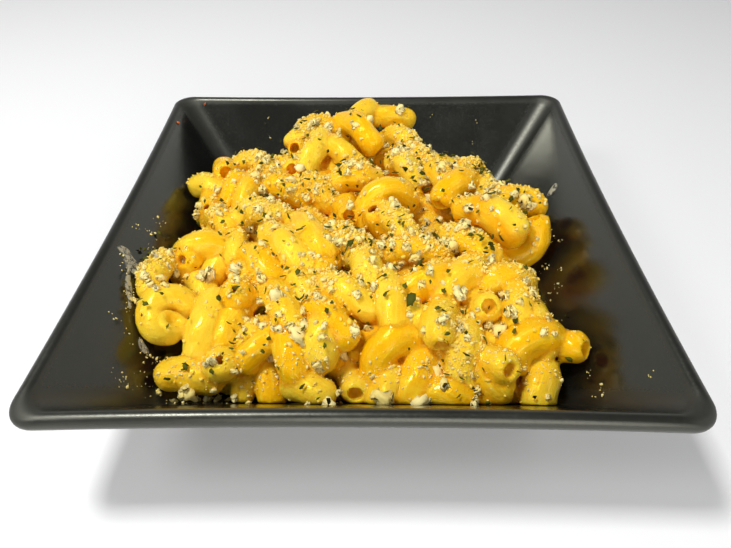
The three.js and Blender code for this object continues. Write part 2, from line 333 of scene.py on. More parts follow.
@dataclass(frozen=True)
class BlackGlaze:
    """Satin black glaze over dark stoneware, with a bare foot."""

    black: Colour = (0.0035, 0.0040, 0.0038)
    worn: Colour = (0.007, 0.008, 0.0075)
    clay: Colour = (0.20, 0.16, 0.12)
    bare_below: float = 0.35  # mm: the foot's face is unglazed up to here
    lip_above: float = 43.5  # mm: the rim is duller from here up
    corner_wide: float = 11.0  # mm: the glaze is duller this near to a corner's crease

    def material(self) -> bpy.types.Material:
        """The glaze's material.

        Returns:
            The material.
        """
        graph = Graph("black_glaze")
        place = graph.place()
        clouds = graph.noise(place, 26.0, 4.0)
        specks = graph.noise(place, 0.9, 2.0)
        height = graph.node("ShaderNodeSeparateXYZ", {}, {0: place}, "Z")
        bare = 1.0 - height.ramp(self.bare_below * MM * 0.6, self.bare_below * MM)
        glaze = graph.mix(clouds.ramp(0.35, 0.75), self.black, self.worn)
        colour = graph.mix(bare, glaze, self.clay)
        lip = height.ramp(self.lip_above * MM, (self.lip_above + 1.5) * MM)
        off_crease = self.off_diagonal(graph, place)
        corner = 1.0 - off_crease.ramp(self.corner_wide * MM * 0.3, self.corner_wide * MM)
        roughness = 0.13 + clouds.ramp(0.3, 0.7) * 0.06 + specks.ramp(0.45, 0.75) * 0.08
        roughness = roughness + bare * 0.5 + lip * 0.16 + corner * 0.22
        ripple = graph.bump(graph.noise(place, 5.0, 2.0), 0.03)
        grain = graph.bump(specks, 0.02, ripple)
        return graph.surface({
            "Base Color": colour,
            "Roughness": roughness,
            "IOR": 1.5,
            "Specular IOR Level": 0.95,
            "Specular Tint": (1.0, 1.0, 0.84, 1.0),
            "Normal": grain,
        })

    def off_diagonal(self, graph: Graph, place: Signal) -> Signal:
        """How far each place is from the dish's diagonals, along x or y.

        Args:
            graph: The material's nodes.
            place: The place.

        Returns:
            The distance in metres.
        """
        level = graph.node("ShaderNodeVectorMath", {"operation": "ABSOLUTE"}, {0: place}, "Vector")
        across = graph.node("ShaderNodeSeparateXYZ", {}, {0: level}, "X")
        along = graph.node("ShaderNodeSeparateXYZ", {}, {0: level}, "Y")
        return graph.node("ShaderNodeMath", {"operation": "ABSOLUTE"}, {0: across - along})


@dataclass(frozen=True)
class CheeseSauce:
    """Pasta under a thick warm yellow cheese sauce, with fine crumbs stuck in it, and painted orange shade
    in its hollows and its creases.
    """

    yellow: Colour = (0.96, 0.50, 0.003)
    pale: Colour = (0.98, 0.69, 0.05)
    # painted shade: the deeper orange given to hollows that the food closes in
    painted_hollow_shade: Colour = (0.96, 0.445, 0.002)
    # painted shade: the orange put along the creases where noodles meet
    crease: Colour = (0.90, 0.32, 0.001)
    crumb: Colour = (0.94, 0.68, 0.12)
    scatter: Colour = (1.0, 0.45, 0.05)

    def material(self) -> bpy.types.Material:
        """The sauced pasta's material.

        Returns:
            The material.
        """
        graph = Graph("cheese_pasta")
        place = graph.place()
        tube = graph.attribute("tube_place", "Vector")
        closed = graph.attribute("closed")
        tone = graph.attribute("tone")
        crumbed = graph.attribute("crumbed")
        clouds = graph.noise(place, 9.0, 4.0)
        curds = graph.noise(place, 1.5, 3.0, 0.6)
        streaks = graph.noise(graph.stretch(tube, (1.0, 1.0, 0.10)), 1.7, 2.0)
        grit = graph.noise(place, 0.9, 3.0, 0.7)
        body = graph.mix((clouds * 0.7 + tone * 0.5).ramp(0.40, 0.90) * 0.8, self.yellow, self.pale)
        streaked = graph.mix(streaks.ramp(0.50, 0.68) * 0.6, body, self.pale)
        # painted shade: closed-in places turn a deeper orange, as they look in shade
        deep = graph.mix(closed.ramp(0.42, 0.80) * 0.8, streaked, self.painted_hollow_shade)
        # painted shade: the creases between noodles turn orange, as they look in shade
        lined = graph.mix(graph.attribute("crease").ramp(0.25, 1.0) * 0.6, deep, self.crease)
        dust = crumbed * grit.ramp(0.48, 0.62)
        colour = graph.mix(dust * 0.6, lined, self.crumb)
        roughness = 0.16 + curds.ramp(0.35, 0.7) * 0.12 + clouds.ramp(0.45, 0.7) * 0.06 + dust * 0.4
        swell = graph.bump(clouds, 0.8)
        lines = graph.bump(streaks, 0.2, swell)
        lumps = graph.bump(curds, 0.24, lines)
        rough = graph.bump(crumbed * grit, 0.7, lumps)
        return graph.surface({
            "Base Color": colour,
            "Roughness": roughness,
            "IOR": 1.42,
            "Subsurface Weight": 0.35,
            "Subsurface Radius": self.scatter,
            "Subsurface Scale": 2.0 * MM,
            "Specular IOR Level": 0.6,
            "Specular Tint": (1.0, 0.84, 0.06, 1.0),
            "Coat Weight": 0.28 - dust * 0.28,
            "Coat Roughness": 0.07,
            "Coat IOR": 1.42,
            "Normal": rough,
        })


@dataclass(frozen=True)
class ToastedCrumb:
    """Dry panko crumbs, from cream to light gold."""

    name: str = "toasted_crumb"
    cream: Colour = (1.0, 0.88, 0.42)
    gold: Colour = (0.99, 0.76, 0.18)

    def material(self) -> bpy.types.Material:
        """The crumbs' material.

        Returns:
            The material.
        """
        graph = Graph(self.name)
        place = graph.place()
        tone = graph.attribute("tone")
        pores = graph.noise(place, 0.6, 3.0, 0.65)
        stain = graph.noise(place, 2.2, 2.0)
        mixed = (tone * 0.9 + stain * 0.5 - 0.35).capped()
        colour = graph.mix(mixed, self.cream, self.gold)
        shaded = graph.mix(pores.ramp(0.60, 0.38) * 0.4, colour, self.gold)
        return graph.surface({
            "Base Color": shaded,
            "Roughness": 0.8,
            "Specular IOR Level": 0.25,
            "Sheen Weight": 0.6,
            "Sheen Roughness": 0.5,
            "Sheen Tint": (1.0, 0.86, 0.45, 1.0),
            "Normal": graph.bump(pores, 0.12),
        })


@dataclass(frozen=True)
class DriedHerb:
    """Dried parsley flakes, dark green with some olive."""

    dark: Colour = (0.030, 0.036, 0.003)
    olive: Colour = (0.14, 0.14, 0.012)

    def material(self) -> bpy.types.Material:
        """The flakes' material.

        Returns:
            The material.
        """
        graph = Graph("dried_herb")
        place = graph.place()
        tone = graph.attribute("tone")
        veins = graph.noise(place, 0.5, 2.0)
        colour = graph.mix((tone * 0.8 + veins * 0.4 - 0.2).capped(), self.dark, self.olive)
        return graph.surface({
            "Base Color": colour,
            "Roughness": 0.6,
            "Specular IOR Level": 0.08,
            "Normal": graph.bump(veins, 0.12),
        })


@dataclass(frozen=True)
class ThinSauce:
    """A thin wiped film of sauce on the glaze."""

    milky: Colour = (0.70, 0.66, 0.50)
    thin: Colour = (0.42, 0.38, 0.24)

    def material(self) -> bpy.types.Material:
        """The film's material.

        Returns:
            The material.
        """
        graph = Graph("thin_sauce")
        clouds = graph.noise(graph.place(), 1.8, 3.0)
        colour = graph.mix(clouds.ramp(0.35, 0.7), self.milky, self.thin)
        return graph.surface({
            "Base Color": colour,
            "Roughness": 0.22 + clouds * 0.2,
            "Alpha": graph.attribute("cover") * (0.12 + clouds.ramp(0.36, 0.62) * 0.80),
            "Normal": graph.bump(clouds, 0.4),
        })


@dataclass(frozen=True)
class PaleFloor:
    """The plain floor that the dish stands on."""

    white: Colour = (0.93, 0.93, 0.93)

    def material(self) -> bpy.types.Material:
        """The floor's material.

        Returns:
            The material.
        """
        graph = Graph("pale_floor")
        clouds = graph.noise(graph.place(), 180.0, 2.0)
        colour = graph.mix(clouds, self.white, (0.92, 0.92, 0.925))
        return graph.surface({"Base Color": colour, "Roughness": 0.7, "Specular IOR Level": 0.2})


# ----------------------------------------------------------------- mesh making
def mesh_object(name: str, points: Array, faces: Array, values: dict[str, Array] | None = None,
                smooth: bool = True) -> bpy.types.Object:
    """Makes an object from points in millimetres.

    Args:
        name: The object's name.
        points: One row for each point.
        faces: One row of point numbers for each face, all of one length.
        values: Values or vectors for each point, by attribute name.
        smooth: Whether its faces are shaded as one smooth surface.

    Returns:
        The object, with its mesh in metres.
    """
    mesh = bpy.data.meshes.new(name)
    corners = faces.shape[1]
    mesh.vertices.add(len(points))
    mesh.vertices.foreach_set("co", (points * MM).astype(np.float32).ravel())
    mesh.loops.add(faces.size)
    mesh.loops.foreach_set("vertex_index", faces.astype(np.int32).ravel())
    mesh.polygons.add(len(faces))
    mesh.polygons.foreach_set("loop_start", np.arange(0, faces.size, corners, dtype=np.int32))
    mesh.update(calc_edges=True)
    mesh.validate()
    if smooth:
        mesh.shade_smooth()
    for key, data in (values or {}).items():
        set_values(mesh, key, data)
    piece = bpy.data.objects.new(name, mesh)
    bpy.context.scene.collection.objects.link(piece)
    return piece


def set_values(mesh: bpy.types.Mesh, name: str, data: Array) -> None:
    """Keeps a value or a vector for each point of a mesh.

    Args:
        mesh: The mesh.
        name: The attribute's name.
        data: One value or one row of three for each point.
    """
    vector = data.ndim == 2
    attribute = mesh.attributes.new(name, "FLOAT_VECTOR" if vector else "FLOAT", "POINT")
    attribute.data.foreach_set("vector" if vector else "value", data.astype(np.float32).ravel())


def mesh_arrays(mesh: bpy.types.Mesh) -> tuple[Array, Array, Array]:
    """Reads a mesh.

    Args:
        mesh: The mesh, in metres.

    Returns:
        Its points in millimetres, its normals and its triangles.
    """
    points = np.empty(3 * len(mesh.vertices), np.float32)
    mesh.vertices.foreach_get("co", points)
    normals = np.empty(3 * len(mesh.vertices), np.float32)
    mesh.vertices.foreach_get("normal", normals)
    mesh.calc_loop_triangles()
    triangles = np.empty(3 * len(mesh.loop_triangles), np.int32)
    mesh.loop_triangles.foreach_get("vertices", triangles)
    return points.reshape(-1, 3) / MM, normals.reshape(-1, 3), triangles.reshape(-1, 3)


LATTICE_PRIMES = (73856093, 19349663, 83492791)
SEED_FACTOR = 2654435761
MIX_FACTOR = 1274126177
LOW_32_BITS = 0xFFFFFFFF
LOW_16_BITS = 0xFFFF


def value_noise(points: Array, size: float, seed: int) -> Array:
    """Smooth random values on a lattice.

    Args:
        points: Where to read it, in millimetres.
        size: The lattice's spacing.
        seed: The choice of random values.

    Returns:
        A value from -1 to 1 for each point.
    """
    place = points / size
    base = np.floor(place).astype(np.int64)
    part = place - base
    part = part * part * (3 - 2 * part)
    total = np.zeros(len(points))
    for corner in np.ndindex(2, 2, 2):
        cell = base + np.array(corner)
        in_x, in_y, in_z = (cell[:, i] * prime for i, prime in enumerate(LATTICE_PRIMES))
        mixed = in_x ^ in_y ^ in_z ^ seed * SEED_FACTOR
        mixed = (mixed ^ (mixed >> 13)) * MIX_FACTOR & LOW_32_BITS
        value = ((mixed ^ (mixed >> 16)) & LOW_16_BITS) / (LOW_16_BITS / 2) - 1
        weight = np.prod(np.where(np.array(corner), part, 1 - part), axis=1)
        total += weight * value
    return total


def smooth_min(first: Array, second: Array, blend: float) -> Array:
    """The smaller of two fields, rounded where they meet.

    Args:
        first: A field.
        second: Another field.
        blend: The width of the rounding.

    Returns:
        The joined field.
    """
    share = np.clip(0.5 + 0.5 * (first - second) / blend, 0, 1)
    return first + (second - first) * share - blend * share * (1 - share)


def smooth_max(first: Array, second: Array, blend: float) -> Array:
    """The larger of two fields, rounded where they meet."""
    return -smooth_min(-first, -second, blend)


def relaxed(points: Array, quads: Array, times: int) -> Array:
    """Moves each point of a net half way to the middle of its neighbours.

    Args:
        points: The net's points.
        quads: Its quads.
        times: How many times the net is relaxed.

    Returns:
        The moved points.
    """
    start = np.concatenate([quads[:, i] for i in range(4)])
    end = np.concatenate([quads[:, (i + 1) % 4] for i in range(4)])
    count = np.bincount(start, minlength=len(points)) + np.bincount(end, minlength=len(points))
    for _ in range(times):
        total = []
        for i in range(3):
            after = np.bincount(start, points[end, i], len(points))
            before = np.bincount(end, points[start, i], len(points))
            total.append(after + before)
        points = 0.5 * points + 0.5 * np.stack(total, 1) / count[:, None]
    return points


# ------------------------------------------------------------------------ dish
@dataclass
class Dish:
    """The deep square dish: a flat floor, four flat panels and a beaded rim."""

    rim_half: float = 100.0
    height: float = 46.5
    foot_height: float = 2.0
    foot_width: float = 5.0
    foot_chamfer: float = 1.0
    floor_z: float = 6.5
    slope: float = 1.3
    thickness: float = 4.5
    lip_radius: float = 2.75
    corner_share: float = 0.08
    side_bow: float = 1.55
    edge_round: float = 0.5
    side_steps: int = 14
    corner_steps: int = 12
    lip_steps: int = 30
    finish: BlackGlaze = field(default_factory=BlackGlaze)

    def __post_init__(self) -> None:
        """Works out the bead's middle and the floor's size."""
        self.slant = math.hypot(1, self.slope) / self.slope
        self.lip_half = self.rim_half - self.lip_radius
        self.lip_z = self.height - self.lip_radius
        run = (self.lip_z - self.floor_z) / self.slope
        self.floor_half = self.lip_half - self.lip_radius * self.slant - run

    def inside_half(self, z: Any) -> Any:
        """Half the side of the dish's inside at a height."""
        return self.floor_half + (z - self.floor_z) / self.slope

    def outline(self, half: float) -> Array:
        """The square outline with bowed sides and round corners.

        Args:
            half: Half its side.

        Returns:
            Its points, anticlockwise from the middle of the +X side.
        """
        radius = self.corner_share * half
        straight = half - radius
        bow = self.side_bow * max(0.0, (half - self.floor_half) / (self.rim_half - self.floor_half))
        along = np.linspace(0, 1, self.side_steps, endpoint=False)
        side = np.stack([half - bow * (1 - along**2), along * straight], 1)
        angle = np.linspace(0, math.pi / 2, self.corner_steps, endpoint=False)
        corner = straight + radius * np.stack([np.cos(angle), np.sin(angle)], 1)
        back = np.linspace(1, 0, self.side_steps, endpoint=False)
        next_side = np.stack([back * straight, half - bow * (1 - back**2)], 1)
        quarter = np.concatenate([side, corner, next_side])
        turns = [np.array([[c, s], [-s, c]]) for c, s in ((1, 0), (0, 1), (-1, 0), (0, -1))]
        return np.concatenate([quarter @ turn for turn in turns])

    def profile(self) -> Array:
        """The section from the middle of the underside round to the middle of the floor.

        Returns:
            Its points, as half the outline's side and height.
        """
        foot_half = self.inside_half(self.foot_height) + self.thickness * self.slant
        inner_foot = foot_half - self.foot_width
        outer_foot = foot_half - self.foot_chamfer
        soft = self.edge_round
        under = [(0, self.foot_height), (0.5 * inner_foot, self.foot_height)]
        under += [(inner_foot - soft, self.foot_height), (inner_foot, self.foot_height - soft)]
        foot = [(inner_foot, soft), (inner_foot + soft, 0)]
        foot += [(outer_foot - soft, 0), (outer_foot + 0.3, soft)]
        wall_start = (foot_half, self.foot_height)
        wall_next = (foot_half + soft / self.slope, self.foot_height + soft)
        angles = np.linspace(-math.pi / 2, math.pi - math.atan(1 / self.slope), self.lip_steps)
        lip = [(self.lip_half + self.lip_radius * math.cos(a), self.lip_z + self.lip_radius * math.sin(a))
               for a in angles]
        wall_end = (lip[0][0] - 1.0 / self.slope, lip[0][1] - 1.0)
        panel_start = (lip[-1][0] - 1.0 / self.slope, lip[-1][1] - 1.0)
        panel_end = (self.floor_half + 2.0 / self.slope, self.floor_z + 2.0)
        round_in = (self.floor_half - 0.3, self.floor_z + 0.35)
        floor = [(half, self.floor_z) for half in (self.floor_half - 2.5, 0.5 * self.floor_half, 0)]
        points = under + foot + [wall_start, wall_next, wall_end] + lip
        return np.array(points + [panel_start, panel_end, round_in] + floor)

    def build(self) -> bpy.types.Object:
        """Sweeps the section round the outline.

        Returns:
            The dish as one closed mesh.
        """
        profile = self.profile()
        count = 4 * (2 * self.side_steps + self.corner_steps)
        rings = [np.column_stack([self.outline(half), np.full(count, z)]) for half, z in profile[1:-1]]
        ends = np.array([[0, 0, profile[0][1]], [0, 0, profile[-1][1]]])
        points = np.concatenate(rings + [ends])
        here = np.arange(count)
        after = (here + 1) % count
        faces = []
        for k in range(len(rings) - 1):
            low, high = k * count, (k + 1) * count
            faces.append(np.stack([low + here, low + after, high + after], 1))
            faces.append(np.stack([low + here, high + after, high + here], 1))
        under, floor = len(points) - 2, len(points) - 1
        faces.append(np.stack([np.full(count, under), after, here], 1))
        last = (len(rings) - 1) * count
        faces.append(np.stack([np.full(count, floor), last + here, last + after], 1))
        dish = mesh_object("plate_glazed", points, np.concatenate(faces))
        dish.data.materials.append(self.finish.material())
        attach(dish, ROOT)
        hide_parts("plate")
        return dish


# --------------------------------------------------------------------- noodles
@dataclass(frozen=True)
class Noodle:
    """A corkscrew tube about an axis through its middle.

    heading and tilt aim the axis (0 is +X, 90 is +Y), roll turns the coil about
    it, and clean says how free of crumbs the noodle is, from 0 to 1.
    """

    at: Point
    heading: float
    tilt: float = 0.0
    roll: float = 0.0
    turns: float = 1.0
    coil: float = 7.0
    pitch: float = 26.0
    girth: float = 5.3
    clean: float = 0.0

    def centreline(self, count: int) -> Array:
        """The middle line of the tube.

        Args:
            count: The number of points.

        Returns:
            The points, from the start to the end.
        """
        axis, top, side = directions(self.heading, self.tilt)
        turned = self.turns * (np.linspace(0, 1, count) - 0.5)
        angle = math.radians(self.roll) + 2 * math.pi * turned
        ring = np.outer(np.cos(angle), top) + np.outer(np.sin(angle), side)
        return np.array(self.at) + np.outer(self.pitch * turned, axis) + self.coil * ring


def directions(heading: float, tilt: float) -> tuple[Array, Array, Array]:
    """The axis that two angles aim, and two directions square to it.

    Args:
        heading: Where the axis points as seen from above, in degrees.
        tilt: How far its end is raised, in degrees.

    Returns:
        The axis, the way nearest to straight up, and the way to its side.
    """
    across, rise = math.radians(heading), math.radians(tilt)
    level = math.cos(rise)
    axis = np.array([level * math.cos(across), level * math.sin(across), math.sin(rise)])
    top = UP - axis * (UP @ axis)
    top /= np.linalg.norm(top)
    return axis, top, np.cross(axis, top)


def mouth(column: float, row: float, z: float, heading: float, facing: float, girth: float,
          length: float = 14.0, clean: float = 0.0) -> Noodle:
    """A short noodle that comes up out of the heap with its open end showing.

    Args:
        column: The pixel that the middle of its open end shows at, from the left.
        row: That pixel from the top.
        z: The height of the open end.
        heading: Where the open end points, as seen from above.
        facing: How far the open end looks up.
        girth: The tube's radius.
        length: The length that shows.
        clean: How free of crumbs it is, from 0 to 1.

    Returns:
        The noodle.
    """
    lift, coil = 24, 2  # degrees that the coil turns the end up by, and its radius
    tilt = facing - lift
    axis, _, side = directions(heading, tilt)
    end, _ = VIEW.point(column, row, z)
    middle = end - axis * length / 2 + side * coil
    at = tuple(round(float(value)) for value in middle)
    return Noodle(at, heading, tilt, 180, 0.5, coil, 2 * length, girth, clean)


# The same noodles as the part's heap, and the ones that lie between them. Each is placed by the
# pixel that its middle shows at in the usual view and its height, and for a mouth those of its open end.
NOODLES = {
    # far side, up the far panel
    "far_dome": Noodle(spot(363, 116, z=41), 78, 12, 0, 0.5, 2, 22, 5.9, 0.7),
    "far_hook": Noodle(spot(391, 119, z=38), 8, 4, 30, 0.5, 2, 34, 5.9, 0.5),
    "far_under": Noodle(spot(400, 142, z=36), -10, 0, 0, 0.45, 3, 26, 5.2, 0.3),
    "far_streak": Noodle(spot(357, 134, z=41), -28, -6, 0, 0.6, 4, 42, 6.1, 0.8),
    "far_point": Noodle(spot(340, 156, z=38), -22, -6, 10, 0.6, 3.5, 38, 5.8, 0.7),
    "far_loop": Noodle(spot(314, 158, z=38), -88, -30, 0, 0.65, 3.5, 40, 5.9, 0.8),
    "far_mouth": mouth(296, 149, 38, -120, 40, 5.2, clean=0.5),
    "far_top": Noodle(spot(323, 133, z=37), 12, 0, 0, 0.6, 4, 34, 5.7),
    "far_left": Noodle(spot(308, 141, z=37), 60, 0, 0, 0.5, 4, 28, 5.5),
    "far_gapside": Noodle(spot(352, 173, z=31), 20, 0, 0, 0.6, 4, 32, 5.2, 0.2),
    # the far right slope of the heap
    "slope_a": Noodle(spot(415, 163, z=33), -20, 0, 0, 0.6, 4, 34, 5.7),
    "slope_b": Noodle(spot(437, 174, z=33), 20, 0, 0, 0.6, 4, 32, 5.6),
    "slope_c": Noodle(spot(405, 172, z=34), -30, 0, 0, 0.6, 4, 32, 5.5),
    "slope_d": Noodle(spot(463, 179, z=32), 75, 0, 0, 0.55, 4, 28, 5.5, 0.2),
    "slope_e": Noodle(spot(482, 197, z=31), -50, 0, 0, 0.6, 4, 32, 5.7, 0.1),
    "slope_f": Noodle(spot(507, 208, z=31), 10, 0, 0, 0.6, 4, 34, 5.8, 0.1),
    # left, towards the far panel
    "far_left_mouth": mouth(226, 172, 38, -88, 44, 5.8, 16, clean=0.8),
    "far_left_neck": Noodle(spot(234, 196, z=33), -80, -35, 0, 0.5, 2, 34, 5.6, 0.8),
    "far_left_outer": Noodle(spot(211, 192, z=31), 0, 0, 0, 0.5, 3, 28, 5.6, 0.3),
    "far_left_ring": mouth(211, 209, 35, -95, 38, 5.4, clean=0.5),
    "far_left_cover": Noodle(spot(264, 171, z=35), -8, 0, 10, 0.7, 4, 38, 5.6),
    "far_left_end": mouth(291, 170, 38, -80, 40, 5.3, clean=0.5),
    "far_left_back": Noodle(spot(249, 198, z=34), -68, -10, 0, 0.6, 3.5, 36, 5.7, 0.6),
    "far_left_mid": Noodle(spot(284, 195, z=33), 15, 0, 0, 0.6, 4, 36, 5.6, 0.3),
    "far_left_mid2": Noodle(spot(317, 195, z=33), -20, 0, 0, 0.6, 4, 34, 5.5, 0.1),
    "far_left_low": Noodle(spot(222, 228, z=30), -20, 0, 0, 0.65, 4, 36, 5.6, 0.2),
    "far_left_crumb": Noodle(spot(265, 220, z=35), 20, 0, 0, 0.6, 4.5, 34, 5.8),
    # left, half way down
    "left_arch": Noodle(spot(207, 256, z=29), 62, -5, 0, 0.7, 6, 28, 5.8, 0.8),
    "left_mouth": mouth(186, 259, 33, -115, 32, 5.5, clean=0.8),
    "left_under": Noodle(spot(192, 284, z=20), 10, 0, 0, 0.6, 4, 34, 5.5, 0.5),
    "left_side": Noodle(spot(237, 253, z=29), -40, 0, 0, 0.6, 4, 32, 5.4),
    "left_three": Noodle(spot(263, 269, z=33), -30, 0, 0, 0.55, 3.5, 36, 5.7, 0.5),
    "left_two": Noodle(spot(287, 251, z=36), -33, 0, 0, 0.6, 3.5, 46, 6, 0.5),
    "left_one": Noodle(spot(312, 240, z=38), -40, 0, 0, 0.55, 3, 44, 5.8, 0.95),
    "left_low": Noodle(spot(244, 288, z=28), -45, 0, 0, 0.6, 4, 34, 5.5, 0.3),
    # middle
    "middle_dome": Noodle(spot(357, 184, z=36), 30, 0, 0, 0.6, 4, 32, 5.9, 0.2),
    "middle_arch": Noodle(spot(385, 207, z=37), 80, -8, -10, 0.75, 7.5, 26, 5.8, 0.8),
    "middle_mouth": mouth(349, 215, 38, -100, 38, 5.6, clean=0.7),
    "middle_open": Noodle(spot(400, 233, z=38), -38, -8, 0, 0.6, 3.5, 48, 5.9, 0.2),
    "middle_lip": mouth(375, 215, 41, 120, 70, 5, 12, clean=0.4),
    "middle_crumb": Noodle(spot(352, 247, z=36), -5, 0, 20, 0.65, 4, 42, 5.7),
    "middle_post": Noodle(spot(326, 271, z=32), -75, 0, 0, 0.6, 3.5, 36, 5.6, 0.6),
    "middle_sheet": Noodle(spot(365, 275, z=34), -40, 0, 0, 0.6, 4.5, 38, 5.8, 0.3),
    "middle_fat": Noodle(spot(345, 299, z=33), -8, 0, 0, 0.6, 4, 36, 5.8, 0.2),
    "middle_left": Noodle(spot(303, 293, z=31), -20, 0, 0, 0.6, 4, 36, 5.6, 0.1),
    "middle_slant": Noodle(spot(284, 311, z=31), -42, 0, 0, 0.6, 3.5, 44, 5.8, 0.4),
    "middle_nose": Noodle(spot(391, 304, z=34), -62, -8, 0, 0.55, 3, 38, 5.7, 0.6),
    "middle_bulb": Noodle(spot(426, 287, z=35), -125, -8, 0, 0.6, 3.5, 36, 6.2, 0.3),
    "middle_bulb2": Noodle(spot(457, 284, z=35), -110, -8, 0, 0.6, 3.5, 34, 6.2, 0.3),
    "middle_cover": Noodle(spot(415, 256, z=35), 20, 0, 0, 0.6, 4, 36, 5.6),
    "middle_knob": Noodle(spot(440, 324, z=33), -75, 15, 0, 0.5, 3, 30, 6, 0.3),
    "middle_deep": Noodle(spot(407, 322, z=30), 0, 0, 0, 0.6, 4, 34, 5.6, 0.2),
    "middle_deep2": Noodle(spot(462, 350, z=27), -75, -15, 0, 0.7, 4, 36, 5.6, 0.3),
    # right, towards the far panel
    "far_right_diag": Noodle(spot(453, 190, z=38), 68, 0, 0, 0.5, 3, 38, 6, 0.9),
    "far_right_thin": Noodle(spot(440, 182, z=35), 150, 10, 0, 0.5, 3, 24, 5.1, 0.6),
    "far_right_wide": Noodle(spot(487, 221, z=36), -20, 0, 0, 0.65, 4, 42, 6.2, 0.1),
    "far_right_blunt": Noodle(spot(498, 221, z=38), -18, -4, 0, 0.5, 3, 32, 6.5, 0.3),
    "far_right_top": Noodle(spot(518, 204, z=35), -4, 0, 0, 0.5, 2, 38, 5.7, 0.7),
    "far_right_loop": Noodle(spot(512, 234, z=31), 90, -43, 155, 0.55, 9.5, 12, 5.9, 0.9),
    # right, half way down
    "right_bulge": Noodle(spot(468, 249, z=36), -15, 0, 0, 0.55, 4, 36, 6, 0.2),
    "right_arch": Noodle(spot(500, 291, z=30), 62, 0, 0, 0.65, 6, 28, 5.9, 0.5),
    "right_ring": mouth(487, 307, 36, -90, 50, 5.6, clean=0.6),
    "right_pit": Noodle(spot(517, 306, z=33), -72, -12, 0, 0.5, 2, 26, 5.4, 0.4),
    "right_edge": Noodle(spot(532, 328, z=27), -50, 0, 0, 0.65, 4.5, 32, 5.6, 0.2),
    # near side, right to left
    "near_horn": mouth(580, 348, 28, -38, 36, 5.7, 20, clean=0.95),
    "near_drape": Noodle(spot(529, 348, z=25), 75, -5, 10, 0.7, 6, 28, 6.3, 0.9),
    "near_pipe": Noodle(spot(484, 368, z=24), -45, 5, 60, 0.6, 3, 34, 5.6, 0.8),
    "near_spout": mouth(507, 369, 31, -62, 36, 5.7, 20, clean=0.9),
    "near_heel": Noodle(spot(538, 387, z=18), -80, -12, 0, 0.55, 3, 34, 6.3, 0.95),
    "near_toe": Noodle(spot(507, 395, z=12), 10, 0, 0, 0.55, 3, 32, 5.4, 0.6),
    "near_crumbs": Noodle(spot(464, 389, z=16), -15, 0, 0, 0.6, 4, 38, 5.5, 0.3),
    "near_dome": Noodle(spot(444, 396, z=20), 5, 0, 0, 0.5, 2, 28, 5.7, 0.8),
    "near_streak": Noodle(spot(414, 382, z=20), -82, -25, 0, 0.55, 3.5, 38, 5.9, 0.9),
    "near_big": Noodle(spot(398, 357, z=24), 82, -5, -34, 0.78, 6.6, 26, 6.4, 0.95),
    "near_foot": Noodle(spot(387, 391, z=19), -85, -20, 0, 0.45, 2, 28, 5.8, 0.9),
    "near_ring": mouth(355, 391, 20, -92, 32, 5.2, clean=0.9),
    "near_round": Noodle(spot(323, 338, z=29), -62, -18, 0, 0.55, 3.5, 26, 6.9, 0.6),
    "near_round_top": Noodle(spot(330, 324, z=31), -20, 0, 0, 0.55, 3.5, 34, 6.3, 0.4),
    "near_pale": Noodle(spot(308, 391, z=22), -6, 0, 0, 0.5, 1.5, 24, 5.6, 0.9),
    "near_slope": Noodle(spot(291, 355, z=28), -56, -18, 0, 0.5, 1.5, 32, 5.6, 0.9),
    "near_low": Noodle(spot(269, 386, z=16), -58, -25, 0, 0.5, 1.5, 34, 5.1, 0.9),
    "near_point": Noodle(spot(247, 383, z=16), -95, -25, 0, 0.5, 1, 22, 4.6, 0.9),
    "near_tip": Noodle(spot(257, 351, z=27), -115, -20, 0, 0.5, 1.5, 26, 5, 0.9),
    "near_tear": Noodle(spot(214, 358, z=15), -50, 0, 0, 0.6, 4, 32, 5.5, 0.5),
    "near_hole": mouth(222, 364, 28, -90, 66, 6.4, clean=0.5),
    "near_cap": Noodle(spot(191, 378, z=20), 4, 0, 0, 0.5, 1.5, 34, 6.2, 0.6),
    "near_join": Noodle(spot(233, 327, z=24), -80, 0, 0, 0.6, 3, 34, 6, 0.6),
    "near_limb": Noodle(spot(206, 325, z=27), -84, -14, 0, 0.6, 2, 40, 6.1, 0.95),
    "near_curl": Noodle(spot(168, 313, z=28), 90, -43, 324, 1.2, 5.6, 15, 5.7, 0.95),
    "near_cup": mouth(238, 292, 35, -90, 66, 6.4, clean=0.6),
    "near_back": Noodle(spot(158, 278, z=31), 112, 0, 0, 0.55, 3, 30, 5.6),
}


def buried_noodles(count: int, seed: int) -> list[Noodle]:
    """Noodles that show only in the gaps between the others.

    Args:
        count: How many there are.
        seed: The choice of random places.

    Returns:
        The noodles, in a layer just over the core.
    """
    rng = np.random.default_rng(seed)
    noodles = []
    while len(noodles) < count:
        x, y = rng.uniform((-72, -62), (52, 82))
        if heap_reach(x, y) < 0.45:
            continue
        z = 19 + 9 * (y - FOOD_NEAR_Y) / FOOD_LENGTH + rng.uniform(-1.5, 1.5)
        heading, roll = rng.uniform(-90, 90), rng.uniform(-40, 40)
        noodles.append(Noodle((x, y, z), heading, rng.uniform(-15, 15), roll, 0.65, 4, 34, clean=0.3))
    return noodles


def heap_reach(x: Any, y: Any) -> Any:
    """How far inside the food's outline a place is.

    Args:
        x: Places across the dish.
        y: Places from the near to the far side.

    Returns:
        1 in the middle of the food, 0 at its edge and less outside it.
    """
    near_y, far_y, taper_y = -65.0, 88.0, 36.0
    half_width, far_width = 76.0, 12.0
    along = (y - near_y) / (far_y - near_y)
    taper = np.clip((y - taper_y) / (far_y - taper_y), 0, 1)
    width = half_width + (far_width - half_width) * taper
    return np.clip(1 - np.abs(x / width) ** 4 - np.abs(2 * along - 1) ** 6, -1, 1)


